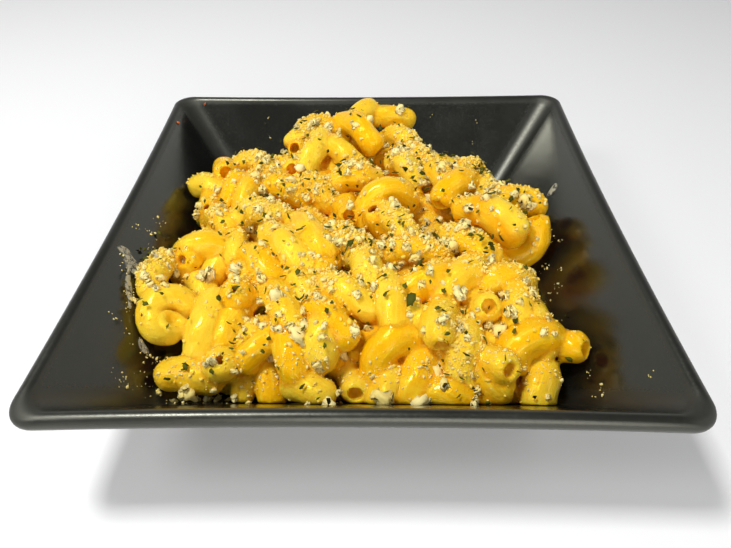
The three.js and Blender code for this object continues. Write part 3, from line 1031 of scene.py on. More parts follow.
@dataclass
class FieldGrid:
    """A block of even points that holds the distance to the food's surface."""

    low: Array
    high: Array
    step: float

    def __post_init__(self) -> None:
        """Lays out the block, all of it outside the food."""
        self.shape = tuple(np.ceil((self.high - self.low) / self.step).astype(int) + 1)
        self.distance = np.full(self.shape, FAR, np.float32)
        self.owner = np.full(self.shape, -1, np.int16)
        self.nearest = np.full(self.shape, FAR, np.float32)
        self.second = np.full(self.shape, FAR, np.float32)

    def block(self, low: Array, high: Array) -> tuple[tuple[slice, ...], Array]:
        """The part of the grid between two corners.

        Args:
            low: The lowest corner.
            high: The highest corner.

        Returns:
            The slices and the points of the part, one row for each point.
        """
        first = np.clip(np.floor((low - self.low) / self.step).astype(int), 0, np.array(self.shape) - 1)
        last = np.clip(np.ceil((high - self.low) / self.step).astype(int) + 1, 1, self.shape)
        axes = [self.low[i] + self.step * np.arange(first[i], last[i]) for i in range(3)]
        points = np.stack(np.meshgrid(*axes, indexing="ij"), -1).astype(np.float32)
        return tuple(slice(first[i], last[i]) for i in range(3)), points

    def sample(self, values: Array, points: Array) -> Array:
        """Reads a grid of values between its points.

        Args:
            values: A grid of this shape.
            points: Where to read it.

        Returns:
            One value for each point.
        """
        place = np.clip((points - self.low) / self.step, 0, np.array(self.shape) - 1.001)
        base = np.floor(place).astype(int)
        part = place - base
        total = np.zeros(len(points))
        for corner in np.ndindex(2, 2, 2):
            weight = np.prod(np.where(np.array(corner), part, 1 - part), axis=1)
            total += weight * values[tuple((base + np.array(corner)).T)]
        return total

    def surface(self) -> tuple[Array, Array]:
        """The surface where the distance is nothing, as a net of even quads.

        Returns:
            The points and the quads, facing outwards.
        """
        inside = self.distance < 0
        cells = np.array(self.shape) - 1
        full = np.zeros(cells, np.int8)
        for corner in np.ndindex(2, 2, 2):
            full += inside[tuple(slice(c, c + n) for c, n in zip(corner, cells))]
        mixed = np.argwhere((full > 0) & (full < 8))
        number = np.full(cells, -1, np.int32)
        number[tuple(mixed.T)] = np.arange(len(mixed))
        total = np.zeros((len(mixed), 3))
        hits = np.zeros(len(mixed))
        for axis in range(3):
            for corner in np.ndindex(2, 2, 2):
                if corner[axis]:
                    continue
                start = mixed + np.array(corner)
                end = start.copy()
                end[:, axis] += 1
                near = self.distance[tuple(start.T)].astype(float)
                far = self.distance[tuple(end.T)].astype(float)
                cross = (near < 0) != (far < 0)
                share = np.where(cross, near / np.where(cross, near - far, 1.0), 0.0)
                place = np.array(corner, float) + np.outer(share, np.eye(3)[axis])
                total += np.where(cross[:, None], place, 0)
                hits += cross
        points = self.low + self.step * (mixed + total / hits[:, None])
        return points, np.concatenate(list(self._quads(inside, number)))

    def _quads(self, inside: Array, number: Array) -> Iterator[Array]:
        """The quads across each grid edge that goes through the surface.

        Args:
            inside: Which grid points lie in the food.
            number: The net's point in each cell.

        Yields:
            The quads across the edges along one axis.
        """
        for axis in range(3):
            one, two = (axis + 1) % 3, (axis + 2) % 3
            before = np.take(inside, range(self.shape[axis] - 1), axis)
            after = np.take(inside, range(1, self.shape[axis]), axis)
            for flip in (False, True):
                crossed = (after & ~before) if flip else (before & ~after)
                edge = np.argwhere(crossed)
                edge = edge[(edge[:, one] > 0) & (edge[:, two] > 0)]
                around = []
                for back_one, back_two in ((0, 0), (1, 0), (1, 1), (0, 1)):
                    cell = edge.copy()
                    cell[:, one] -= back_one
                    cell[:, two] -= back_two
                    around.append(number[tuple(cell.T)])
                quads = np.stack(around, 1)
                yield quads[:, ::-1] if flip else quads


@dataclass
class Heap:
    """The sauced noodles, melted together over a core of broken pasta and sauce."""

    dish: Dish
    finish: CheeseSauce = field(default_factory=CheeseSauce)
    step: float = 0.85
    web: float = 1.4  # width of the sauce that fills a crease between noodles
    line_points: int = 30
    stub: int = 3  # points of the middle line in each straight cut end
    bore_share: float = 0.48
    bore_depth: float = 0.3
    bore_edge: float = 1.1  # how widely the rim of a bore is rounded
    wall_edge: float = 0.7  # the same where the food meets the dish
    end_round: float = 0.9
    crease_reach: float = 2.2  # how near the next noodle is where a crease shows
    gap: float = 0.1
    core_near: float = 13.0
    core_far: float = 21.0
    core_lump: float = 2.6
    core_slack: float = 0.75  # keeps the distance to the core's slopes from being overstated
    buried: int = 70
    relax: int = 2
    most_triangles: int = 185000

    def __post_init__(self) -> None:
        """Adds the noodles in the gaps to those that show."""
        self.noodles = [*NOODLES.values(), *buried_noodles(self.buried, 77)]

    def core_height(self, x: Array, y: Array) -> Array:
        """How high the core stands over the dish's floor.

        Args:
            x: Places across the dish.
            y: Places from the near to the far side.

        Returns:
            The heights, below nothing outside the core.
        """
        reach = heap_reach(x, y)
        crest = self.core_near + (self.core_far - self.core_near) * (y - FOOD_NEAR_Y) / FOOD_LENGTH
        return crest * np.sign(reach) * np.abs(reach) ** 0.5

    def build_field(self) -> FieldGrid:
        """Fills a grid with the distance to the whole heap.

        Returns:
            The grid.
        """
        low = np.array([-92.0, -92.0, self.dish.floor_z - 2])
        high = np.array([92.0, 97.0, 56.0])
        grid = FieldGrid(low, high, self.step)
        part, points = grid.block(low, high)
        top = self.dish.floor_z + self.core_height(points[..., 0], points[..., 1])
        lumps = value_noise(points[:, :, 0].reshape(-1, 3), 9.0, 5) + 0.6 * value_noise(
            points[:, :, 0].reshape(-1, 3), 4.5, 6)
        top = top + self.core_lump * lumps.reshape(grid.shape[:2])[:, :, None]
        grid.distance[part] = self.core_slack * (points[..., 2] - top)
        grid.nearest[part] = grid.distance
        for number, noodle in enumerate(self.noodles):
            self.add_noodle(grid, noodle, number)
        for noodle in NOODLES.values():
            self.cut_bores(grid, noodle)
        self.trim(grid, points)
        return grid

    def add_noodle(self, grid: FieldGrid, noodle: Noodle, number: int) -> None:
        """Joins one noodle to the grid, with soft sauce where it meets the rest.

        Args:
            grid: The grid.
            noodle: The noodle.
            number: Its place in the list.
        """
        line = noodle.centreline(self.line_points)
        margin = noodle.girth + 3 * self.web
        part, points = grid.block(line.min(0) - margin, line.max(0) + margin)
        distance = np.full(points.shape[:3], FAR, np.float32)
        first, last = self.stub, len(line) - 1 - self.stub
        for start, end in zip(line[first:last], line[first + 1:last + 1]):
            distance = np.minimum(distance, self.to_segment(points, start, end) - noodle.girth)
        for tip, joint in ((line[0], line[first]), (line[-1], line[last])):
            distance = np.minimum(distance, self.to_stub(points, joint, tip, noodle.girth))
        old, nearest = grid.distance[part], grid.nearest[part]
        grid.owner[part] = np.where(distance < nearest, number, grid.owner[part])
        grid.second[part] = np.minimum(grid.second[part], np.maximum(nearest, distance))
        grid.nearest[part] = np.minimum(nearest, distance)
        grid.distance[part] = smooth_min(old, distance, self.web)

    def to_segment(self, points: Array, start: Array, end: Array) -> Array:
        """The distance from each point to a straight line between two points.

        Args:
            points: The grid's points.
            start: One end of the line.
            end: Its other end.

        Returns:
            The distances.
        """
        reach = (end - start).astype(np.float32)
        offset = points - start.astype(np.float32)
        share = np.clip(offset @ reach / (reach @ reach), 0, 1)
        return np.linalg.norm(offset - share[..., None] * reach, axis=-1)

    def to_stub(self, points: Array, joint: Array, tip: Array, girth: float) -> Array:
        """The distance to a straight round bar with a flat cut end.

        Args:
            points: The grid's points.
            joint: Where the bar leaves the coil.
            tip: The middle of the cut end.
            girth: The bar's radius.

        Returns:
            The distances.
        """
        length = float(np.linalg.norm(tip - joint))
        way = ((tip - joint) / length).astype(np.float32)
        offset = points - joint.astype(np.float32)
        along = offset @ way
        across = np.linalg.norm(offset - along[..., None] * way, axis=-1)
        side = across - (girth - self.end_round)
        ends = np.abs(along - length / 2) - (length / 2 - self.end_round)
        outside = np.hypot(np.maximum(side, 0), np.maximum(ends, 0))
        return outside + np.minimum(np.maximum(side, ends), 0) - self.end_round

    def cut_bores(self, grid: FieldGrid, noodle: Noodle) -> None:
        """Opens the bore at both cut ends of a noodle.

        Args:
            grid: The grid.
            noodle: The noodle.
        """
        line = noodle.centreline(self.line_points)
        for ordered in (line, line[::-1]):
            outwards = ordered[0] - ordered[1]
            outwards /= np.linalg.norm(outwards)
            steps = np.cumsum(np.linalg.norm(np.diff(ordered, axis=0), axis=1))
            deep = ordered[1:][steps < self.bore_depth]
            route = np.concatenate([[ordered[0] + 1.2 * outwards, ordered[0]], deep])
            part, points = grid.block(route.min(0) - 5, route.max(0) + 5)
            hole = np.full(points.shape[:3], FAR, np.float32)
            for start, end in zip(route[:-1], route[1:]):
                away = self.to_segment(points, start, end)
                hole = np.minimum(hole, away - self.bore_share * noodle.girth)
            grid.distance[part] = smooth_max(grid.distance[part], -hole, self.bore_edge)

    def trim(self, grid: FieldGrid, points: Array) -> None:
        """Keeps the food inside the dish.

        Args:
            grid: The grid.
            points: All of its points.
        """
        half = self.dish.inside_half(points[..., 2])
        level = np.abs(points[..., :2])
        radius = self.dish.corner_share * half
        past = np.maximum(level - (half - radius)[..., None], 0)
        corner = np.linalg.norm(past, axis=-1) - radius
        flat = level.max(-1) - half
        spread = self.dish.rim_half - self.dish.floor_half
        bow_share = np.clip((half - self.dish.floor_half) / spread, 0, 2)
        bow = self.dish.side_bow * bow_share * (1 - np.clip(level.min(-1) / half, 0, 1) ** 2)
        wall = np.where(past.min(-1) > 0, corner, flat + bow) / self.dish.slant + self.gap
        floor = self.dish.floor_z + self.gap - points[..., 2]
        grid.distance[...] = smooth_max(grid.distance, np.maximum(wall, floor), self.wall_edge)

    def openness(self, grid: FieldGrid, points: Array, normals: Array) -> Array:
        """How closed in each point is by the food round it.

        Args:
            grid: The grid.
            points: Points on the surface.
            normals: Their normals.

        Returns:
            The share of the space just outside each point that food fills.
        """
        solid = (grid.distance < 0).astype(np.float32)
        reach = int(round(4.0 / self.step))
        for axis in range(3):
            total = np.cumsum(solid, axis=axis)
            ahead = np.roll(total, -reach, axis)
            behind = np.roll(total, reach + 1, axis)
            solid = (ahead - behind) / (2 * reach + 1)
        return np.clip(grid.sample(solid, points + 3.0 * normals), 0, 1)

    def build(self) -> bpy.types.Object:
        """Makes the sauced noodles as one mesh.

        Returns:
            The heap.
        """
        grid = self.build_field()
        points, quads = grid.surface()
        points = relaxed(points, quads, self.relax)
        draft = mesh_object("heap_draft", points, quads)
        share = self.most_triangles / (2 * len(quads))
        LOG.info("heap net: %d quads", len(quads))
        if share < 1:
            thin = draft.modifiers.new("thin", "DECIMATE")
            thin.ratio = share
        shaped = bpy.data.meshes.new_from_object(draft.evaluated_get(bpy.context.evaluated_depsgraph_get()))
        bpy.data.objects.remove(draft)
        points, normals, triangles = mesh_arrays(shaped)
        bpy.data.meshes.remove(shaped)
        # closed is the mask of the sauce's painted shade in its hollows
        closed = self.openness(grid, points, normals)
        # crease is the mask of the sauce's painted shade along the creases between noodles
        crease = np.clip(1 - grid.sample(grid.second, points) / self.crease_reach, 0, 1)
        nearest = np.clip(np.rint((points - grid.low) / grid.step).astype(int), 0, np.array(grid.shape) - 1)
        owner = grid.owner[tuple(nearest.T)]
        wobble = 0.55 * value_noise(points, 10.0, 1) + 0.42 * value_noise(points, 4.5, 2)
        lumpy = np.clip(value_noise(points, 14.0, 4) + 0.4, 0, 1)
        lumps = np.clip(value_noise(points, 2.1, 3), 0, 1) * lumpy
        free = np.clip((self.wall_room(points) - 0.3) / 2.0, 0, 1)
        points = points + normals * (free * (wobble + 0.5 * lumps))[:, None]
        rng = np.random.default_rng(21)
        tones = rng.uniform(0, 1, len(self.noodles) + 1)
        self.clean = np.array([noodle.clean for noodle in self.noodles] + [0.0])[owner]
        crumbed = crumb_cover(points, self.clean) * np.clip(1.6 * normals[:, 2] + 0.3, 0, 1)
        values = {"closed": closed, "crease": crease, "tone": tones[owner], "crumbed": crumbed,
                  "tube_place": self.tube_places(points, owner) * MM}
        heap = mesh_object("mac_and_sauce", points, triangles, values)
        heap.data.materials.append(self.finish.material())
        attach(heap, ROOT)
        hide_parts("mac_heap")
        return heap

    def wall_room(self, points: Array) -> Array:
        """The free space between each point and the dish.

        Args:
            points: Points on the food.

        Returns:
            The distances, in millimetres.
        """
        half = self.dish.inside_half(points[:, 2])
        wall = (half - self.dish.side_bow - np.abs(points[:, :2]).max(1)) / self.dish.slant
        return np.minimum(wall, points[:, 2] - self.dish.floor_z)

    def tube_places(self, points: Array, owner: Array) -> Array:
        """Each point's place round and along its own noodle.

        Args:
            points: Points on the surface.
            owner: The noodle that each is on, or -1.

        Returns:
            Two coordinates round the tube and one along it, in millimetres.
        """
        places = points.copy()
        for number, noodle in enumerate(self.noodles):
            mine = np.flatnonzero(owner == number)
            if not len(mine):
                continue
            line = noodle.centreline(60)
            way = np.gradient(line, axis=0)
            way /= np.linalg.norm(way, axis=1)[:, None]
            gaps = np.linalg.norm(points[mine, None] - line[None], axis=2)
            near = gaps.argmin(1)
            offset = points[mine] - line[near]
            inwards = np.array(noodle.at) - line[near]
            inwards -= way[near] * (inwards * way[near]).sum(1)[:, None]
            inwards /= np.linalg.norm(inwards, axis=1)[:, None]
            other = np.cross(way[near], inwards)
            along = near * np.linalg.norm(line[1] - line[0]) + (offset * way[near]).sum(1)
            apart = 97 * number  # so that no two noodles share their streaks
            places[mine] = np.stack([(offset * inwards).sum(1), (offset * other).sum(1), along + apart], 1)
        return places


# ---------------------------------------------------------------------- crumbs
@dataclass(frozen=True)
class Drift:
    """A patch of the food that is thick with crumbs."""

    x: float
    y: float
    wide: float
    deep: float
    weight: float = 1.0


DRIFTS = (
    # far side and the far right slope
    Drift(-30, 80, 11, 9), Drift(-28, 56, 9, 12), Drift(28, 56, 17, 16), Drift(48, 40, 15, 12),
    Drift(-8, 37, 14, 7, 0.9), Drift(54, 19, 20, 9, 0.9), Drift(2, 76, 9, 7, 0.6),
    # left, towards the far panel
    Drift(-46, 42, 9, 13), Drift(-41, 6, 9, 12), Drift(-24, 22, 12, 14, 0.9), Drift(-65, 6, 8, 12, 0.7),
    Drift(-60, 34, 12, 10, 0.6),
    # middle
    Drift(-5, -13, 13, 13), Drift(10, -8, 9, 16, 0.9), Drift(23, -2, 9, 22), Drift(-15, -34, 9, 10, 0.7),
    Drift(4, -35, 12, 9, 0.7), Drift(37, -15, 10, 10, 0.9), Drift(48, -30, 12, 9, 0.8),
    Drift(60, -29, 8, 12, 0.9),
    # near side
    Drift(-44, -34, 9, 9, 0.7), Drift(-34, -48, 9, 9, 0.5), Drift(34, -60, 8, 12, 0.8),
    Drift(57, -50, 8, 8, 0.5),
    Drift(-21, -55, 6, 6, 0.6), Drift(-62, -58, 9, 6, 0.4), Drift(-79, -22, 9, 10),
)


def crumb_cover(points: Array, clean: Array) -> Array:
    """How thickly crumbs lie on the food.

    Args:
        points: Places on the food.
        clean: How free of crumbs the noodle is there.

    Returns:
        A share from 0 to 1 for each point.
    """
    thin_cover = 0.14
    cover = np.full(len(points), thin_cover)
    for drift in DRIFTS:
        gap = ((points[:, 0] - drift.x) / drift.wide) ** 2 + ((points[:, 1] - drift.y) / drift.deep) ** 2
        cover = np.maximum(cover, drift.weight * np.exp(-0.6 * gap**1.5))
    clumps = 0.5 + 0.5 * value_noise(points, 6.5, 41)
    return np.clip(cover * (0.35 + 1.2 * clumps), 0, 1) * (1 - 0.88 * clean)


@dataclass
class Surface:
    """The food and the dish as one thing that crumbs can fall on."""

    heap: bpy.types.Object
    dish: bpy.types.Object
    clean: Array
    crumbs: list[bpy.types.Object] = field(default_factory=list)
    middle: float = FOOD_MIDDLE
    drop: float = 60.0

    def __post_init__(self) -> None:
        """Builds the search tree from the food, the crumbs on it and the dish."""
        points, faces = [], []
        total = 0
        for piece in (self.heap, *self.crumbs, self.dish):
            more, _, triangles = mesh_arrays(piece.data)
            points.append(more)
            faces.append(triangles + total)
            total += len(more)
        self.heap_triangles = faces[0]
        corners, triangles = np.concatenate(points).tolist(), np.concatenate(faces).tolist()
        self.tree = BVHTree.FromPolygons(corners, triangles, epsilon=0.0)

    def fall(self, places: Array, leans: Array) -> tuple[Array, Array, Array]:
        """Where crumbs land.

        Args:
            places: Their x and y at the height of the food's middle.
            leans: How far each moves in x and y for each millimetre it falls.

        Returns:
            The points, the normals there and how clean the noodle is, -1 off the food.
        """
        rows = []
        for place, lean in zip(places, leans):
            start = Vector((*(place - self.drop * lean), self.middle + self.drop))
            hit, normal, index, _ = self.tree.ray_cast(start, Vector((*lean, -1.0)).normalized())
            if hit is None:
                continue
            clean = -1.0
            if index < len(self.heap_triangles):
                clean = self.clean[self.heap_triangles[index][0]]
            rows.append((*hit, *normal, clean))
        table = np.array(rows).reshape(-1, 7)
        return table[:, :3], table[:, 3:6], table[:, 6]


def chip(rough: float, rng: np.random.Generator, fine: int = 1) -> tuple[Array, Array]:
    """One angular chip of about unit radius.

    Args:
        rough: How far its points move in or out.
        rng: The source of random numbers.
        fine: 1 for 20 faces, 2 for 80.

    Returns:
        Its points and triangles.
    """
    ball = bpy.data.meshes.new("ball")
    shape = bmesh.new()
    bmesh.ops.create_icosphere(shape, subdivisions=fine, radius=1.0)
    shape.to_mesh(ball)
    shape.free()
    points, _, triangles = mesh_arrays(ball)
    bpy.data.meshes.remove(ball)
    points = points * MM * (1 + rough * rng.uniform(-1, 1, len(points)))[:, None]
    stretch = np.array([rng.uniform(0.85, 1.5), rng.uniform(0.65, 1.05), rng.uniform(0.45, 0.85)])
    return points * stretch, triangles


def crumb_shape(chips: int, rng: np.random.Generator) -> tuple[Array, Array]:
    """An open, angular crumb of about unit radius.

    Args:
        chips: The number of chips that hang together in it.
        rng: The source of random numbers.

    Returns:
        Its points and triangles.
    """
    if chips == 0:
        tips = np.concatenate([np.eye(3), -np.eye(3)]) * rng.uniform(0.5, 1.3, (6, 1))
        triangles = [[0, 1, 2], [1, 3, 2], [3, 4, 2], [4, 0, 2], [1, 0, 5], [3, 1, 5], [4, 3, 5], [0, 4, 5]]
        return tips * np.array([1.2, 0.85, 0.6]), np.array(triangles)
    points, faces = [], []
    stretch = np.array([rng.uniform(1.0, 1.5), rng.uniform(0.75, 1.0), rng.uniform(0.55, 0.8)])
    for number in range(chips):
        whole = number == 0
        shape, triangles = chip(0.30, rng, 2) if whole and chips > 4 else chip(0.40, rng)
        away = rng.normal(0, 1, 3)
        away /= np.linalg.norm(away)
        size = (1.0 if chips == 1 else 0.64) if whole else rng.uniform(0.26, 0.48)
        reach = 0.0 if whole else (1 - size) * rng.uniform(0.80, 1.15)
        turned = turns_about(away[None], rng)[0]
        points.append(size * shape @ turned.T + away * reach * stretch)
        faces.append(triangles + number * len(shape))
    return np.concatenate(points), np.concatenate(faces)


def leaf_flake(rng: np.random.Generator) -> tuple[Array, Array]:
    """A thin curled flake of dried leaf, about one unit across.

    Args:
        rng: The source of random numbers.

    Returns:
        Its points and triangles.
    """
    corners = 7
    uneven = rng.uniform(0, 2 * math.pi, corners)
    angle = np.sort(uneven * 0.35 + np.linspace(0, 2 * math.pi, corners, False) * 0.65)
    reach = rng.uniform(0.28, 0.55, corners)
    slim = rng.uniform(0.22, 0.65)
    rim = np.stack([reach * np.cos(angle), slim * reach * np.sin(angle)], 1)
    flat = np.concatenate([[[0, 0]], rim])
    curl = rng.uniform(-0.7, 0.7) * flat[:, 0] ** 2 + rng.uniform(-0.9, 0.9) * flat[:, 0] * flat[:, 1]
    top = np.column_stack([flat, curl + 0.035])
    under = np.column_stack([flat, curl - 0.035])
    here = np.arange(1, corners + 1)
    after = here % corners + 1
    zero = np.zeros(corners, int)
    low = corners + 1
    faces = [np.stack([zero, here, after], 1), np.stack([zero + low, after + low, here + low], 1)]
    faces += [np.stack([here, here + low, after + low], 1), np.stack([here, after + low, after], 1)]
    return np.concatenate([top, under]), np.concatenate(faces)


def turns_about(normals: Array, rng: np.random.Generator) -> Array:
    """Turns that lay pieces roughly flat on a surface.

    Args:
        normals: The surface's normal under each piece.
        rng: The source of random numbers.

    Returns:
        One 3 by 3 turn for each piece.
    """
    up = normals + rng.normal(0, 0.28, normals.shape)
    up /= np.linalg.norm(up, axis=1)[:, None]
    side = np.cross(up, rng.normal(0, 1, normals.shape))
    side /= np.linalg.norm(side, axis=1)[:, None]
    return np.stack([side, np.cross(up, side), up], 2)


class Grain(Enum):
    """The kinds of small topping, each with its piece's name and its chips."""

    COARSE = ("crumbs_coarse", 9)
    MEDIUM = ("crumbs_medium", 3)
    FINE = ("crumbs_fine", 1)
    DUST = ("crumbs_dust", 0)
    LOOSE = ("crumbs_loose", 1)
    HERB = ("parsley_flakes", 0)
    SPECK = ("spice_specks", 1)


@dataclass(frozen=True)
class Topping:
    """One kind of crumb or flake, strewn over the food."""

    grain: Grain
    count: int
    smallest: float
    largest: float
    seed: int
    sink: float
    even: float = 0.0  # the least chance that one stays where few crumbs lie
    forms: int = 14
    lean: float = 0.4
    finish: ToastedCrumb | DriedHerb = ToastedCrumb()
    placed: tuple[Sighting, ...] = ()  # the ones that stand out in the usual view
    boost: float = 1.0  # the size of those for each millimetre of half their width
    least: float = 0.0  # the smallest size of those
    smooth: bool = True
    ceiling: float = 51.9  # mm: what lies on the crest sinks in down to here
    strays: tuple[tuple[float, float, float, int], ...] = ()  # x, y, spread and number of loose groups

    def spots(self, surface: Surface, rng: np.random.Generator) -> tuple[Array, Array, Array]:
        """Where each one lies.

        Args:
            surface: What they fall on.
            rng: The source of random numbers.

        Returns:
            Their points, normals and sizes.
        """
        points, normals, sizes = [], [], []
        missing = self.count
        while missing > 0:
            places = rng.uniform((-88, -84), (88, 86), (2000, 2))
            landed, up, clean = surface.fall(places, rng.normal(0, self.lean, places.shape))
            chance = np.maximum(crumb_cover(landed, np.clip(clean, 0, 1)), self.even * (1 - 0.7 * clean))
            lucky = rng.uniform(0, 1, len(clean)) < chance
            kept = np.flatnonzero((clean >= 0) & (up[:, 2] > -0.2) & lucky)
            kept = kept[:missing]
            missing -= len(kept)
            points.append(landed[kept])
            normals.append(up[kept])
            sizes.append(self.sizes(len(kept), rng))
        for x, y, spread, number in self.strays:
            landed, up, _ = surface.fall(rng.normal((x, y), spread, (number, 2)), np.zeros((number, 2)))
            points.append(landed)
            normals.append(up)
            sizes.append(0.8 * self.sizes(len(landed), rng))
        viewer = VIEW.eye()
        for sighting in self.placed:
            x, y, half_width = sighting.measured()
            lean = (np.array([[x, y]]) - viewer[:2]) / (viewer[2] - surface.middle)
            landed, up, _ = surface.fall(np.array([[x, y]]), lean)
            points.append(landed)
            normals.append(up)
            sizes.append(np.full(len(landed), max(half_width * self.boost, self.least)))
        return np.concatenate(points), np.concatenate(normals), np.concatenate(sizes)

    def sizes(self, number: int, rng: np.random.Generator) -> Array:
        """Random sizes, most of them small."""
        return self.smallest * (self.largest / self.smallest) ** (rng.uniform(0, 1, number) ** 1.8)

    def build(self, surface: Surface) -> bpy.types.Object:
        """Strews the topping.

        Args:
            surface: What it falls on.

        Returns:
            The topping as one mesh.
        """
        name, chips = self.grain.value
        herb = self.grain is Grain.HERB
        rng = np.random.default_rng(self.seed)
        centres, normals, sizes = self.spots(surface, rng)
        turned = turns_about(normals, rng)
        form_of = rng.integers(0, self.forms, len(sizes))
        points, faces, tones = [], [], []
        total = 0
        for number in range(self.forms):
            shape, triangles = leaf_flake(rng) if herb else crumb_shape(chips, rng)
            mine = np.flatnonzero(form_of == number)
            lifted = centres[mine] + normals[mine] * (sizes[mine] * (0.5 - self.sink))[:, None]
            copies = np.einsum("nij,kj->nki", turned[mine], shape) * sizes[mine][:, None, None]
            copies = copies + lifted[:, None]
            copies[:, :, 2] -= np.maximum(copies[:, :, 2].max(1) - self.ceiling, 0)[:, None]
            first = total + len(shape) * np.arange(len(mine))
            points.append(copies.reshape(-1, 3))
            faces.append((triangles[None] + first[:, None, None]).reshape(-1, 3))
            tones.append(np.repeat(rng.uniform(0, 1, len(mine)), len(shape)))
            total += copies.size // 3
        values = {"tone": np.concatenate(tones)}
        piece = mesh_object(name, np.concatenate(points), np.concatenate(faces), values, self.smooth)
        piece.data.materials.append(self.finish.material())
        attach(piece, ROOT)
        LOG.info("%s: %d pieces, %d triangles", piece.name, len(sizes), sum(len(f) for f in faces))
        return piece


# Loose groups on the dish's panels and along the near edge of its floor: x, y, spread and number.
PANEL_GROUPS = (
    (-90.5, -23.5, 0.9, 3), (-88.5, -29, 1.4, 6), (-86, -37, 1.3, 6), (-84.5, -43, 1.0, 4),
    (-78.5, -21, 2.2, 9),
    (-81.5, -54, 1.6, 6), (-86.5, -49.5, 0.9, 3), (-85, -10, 1.8, 6), (-86, 5, 1.5, 4), (-87, -4, 1.3, 5),
    (-90.5, -6, 0.8, 3), (-77, -55.5, 1.6, 7), (-74.5, -58, 1.2, 4), (-80, -70, 1.8, 6), (-75, -66, 2.5, 9),
    (79.5, 3.5, 0.9, 3), (81, 0, 0.6, 2), (75.5, -7, 1.6, 5), (79.5, -14, 0.6, 2), (75.5, -22, 1.8, 6),
    (73, -40, 1.6, 5), (77.5, -64, 0.9, 3), (78.5, -73, 1.2, 4), (89, -76.5, 0.5, 2), (72, -55, 2.0, 6),
    (-51.5, 89.5, 0.4, 2), (-50.5, 83.5, 0.4, 1), (33.5, 89, 0.4, 1), (57, 88.5, 0.4, 1),
    (55.5, 81.5, 0.4, 1),
)
FLOOR_GROUPS = tuple((x, -66.5, 2.4, 12) for x in range(-66, 68, 5))

# Crumbs and flakes that stand out in the usual view, read off it.
BIG_CRUMBS = (
    # along the near edge
    Sighting(189, 391, 19), Sighting(174, 402, 7), Sighting(196, 401, 10), Sighting(207, 400, 10),
    Sighting(218, 400, 9), Sighting(213, 390, 7), Sighting(235, 397, 8), Sighting(158, 393, 7),
    Sighting(328, 401, 13), Sighting(337, 393, 8), Sighting(307, 405, 6), Sighting(382, 399, 23),
    Sighting(419, 400, 19), Sighting(438, 371, 18), Sighting(444, 386, 11), Sighting(476, 391, 10),
    Sighting(473, 403, 12), Sighting(496, 405, 7), Sighting(228, 401, 7), Sighting(248, 402, 6),
    # left and middle
    Sighting(177, 272, 9), Sighting(210, 275, 15), Sighting(201, 279, 9), Sighting(237, 270, 12),
    Sighting(276, 297, 14), Sighting(280, 330, 11), Sighting(263, 327, 8), Sighting(298, 334, 19),
    Sighting(301, 311, 8), Sighting(324, 326, 8), Sighting(322, 337, 9), Sighting(318, 364, 12),
    Sighting(342, 356, 14), Sighting(356, 295, 9), Sighting(353, 331, 10), Sighting(368, 330, 9),
    Sighting(269, 358, 10), Sighting(213, 361, 13), Sighting(234, 371, 8), Sighting(293, 328, 10),
    Sighting(306, 326, 12),
    # right
    Sighting(513, 311, 12), Sighting(490, 326, 10), Sighting(500, 332, 13), Sighting(542, 333, 8),
    Sighting(457, 294, 14), Sighting(441, 321, 11), Sighting(467, 338, 8), Sighting(530, 292, 9),
    Sighting(553, 334, 7), Sighting(430, 271, 9), Sighting(421, 285, 9), Sighting(507, 297, 8),
    Sighting(519, 302, 7), Sighting(460, 331, 8),
    # far side and the far right slope
    Sighting(357, 121, 9), Sighting(368, 119, 8), Sighting(400, 110, 8), Sighting(387, 145, 8),
    Sighting(433, 153, 8), Sighting(430, 201, 13), Sighting(465, 228, 12), Sighting(449, 247, 13),
    Sighting(441, 169, 9), Sighting(524, 202, 14), Sighting(515, 195, 8), Sighting(497, 192, 7),
    Sighting(407, 247, 9), Sighting(486, 234, 8), Sighting(423, 182, 9), Sighting(397, 153, 8),
    Sighting(487, 199, 9), Sighting(455, 166, 8), Sighting(470, 186, 7), Sighting(532, 206, 8),
    # upper left and the crest
    Sighting(336, 243, 10), Sighting(308, 198, 8), Sighting(269, 217, 9), Sighting(249, 229, 9),
    Sighting(286, 153, 9), Sighting(291, 181, 8), Sighting(460, 229, 9), Sighting(471, 209, 9),
    Sighting(415, 257, 10), Sighting(443, 243, 10), Sighting(381, 246, 9), Sighting(359, 240, 8),
    Sighting(235, 268, 8), Sighting(198, 215, 9), Sighting(201, 206, 7), Sighting(300, 168, 8),
    Sighting(262, 190, 9), Sighting(255, 176, 8), Sighting(328, 128, 9), Sighting(314, 124, 8),
    Sighting(338, 134, 7), Sighting(276, 228, 8), Sighting(262, 245, 7), Sighting(322, 215, 7),
    # left edge and a few in the middle
    Sighting(160, 279, 9), Sighting(150, 284, 9), Sighting(145, 276, 8), Sighting(156, 289, 7),
    Sighting(166, 286, 7), Sighting(135, 302, 8), Sighting(372, 262, 9), Sighting(390, 268, 8),
    Sighting(401, 262, 7), Sighting(425, 330, 7), Sighting(411, 232, 8), Sighting(350, 207, 7),
)
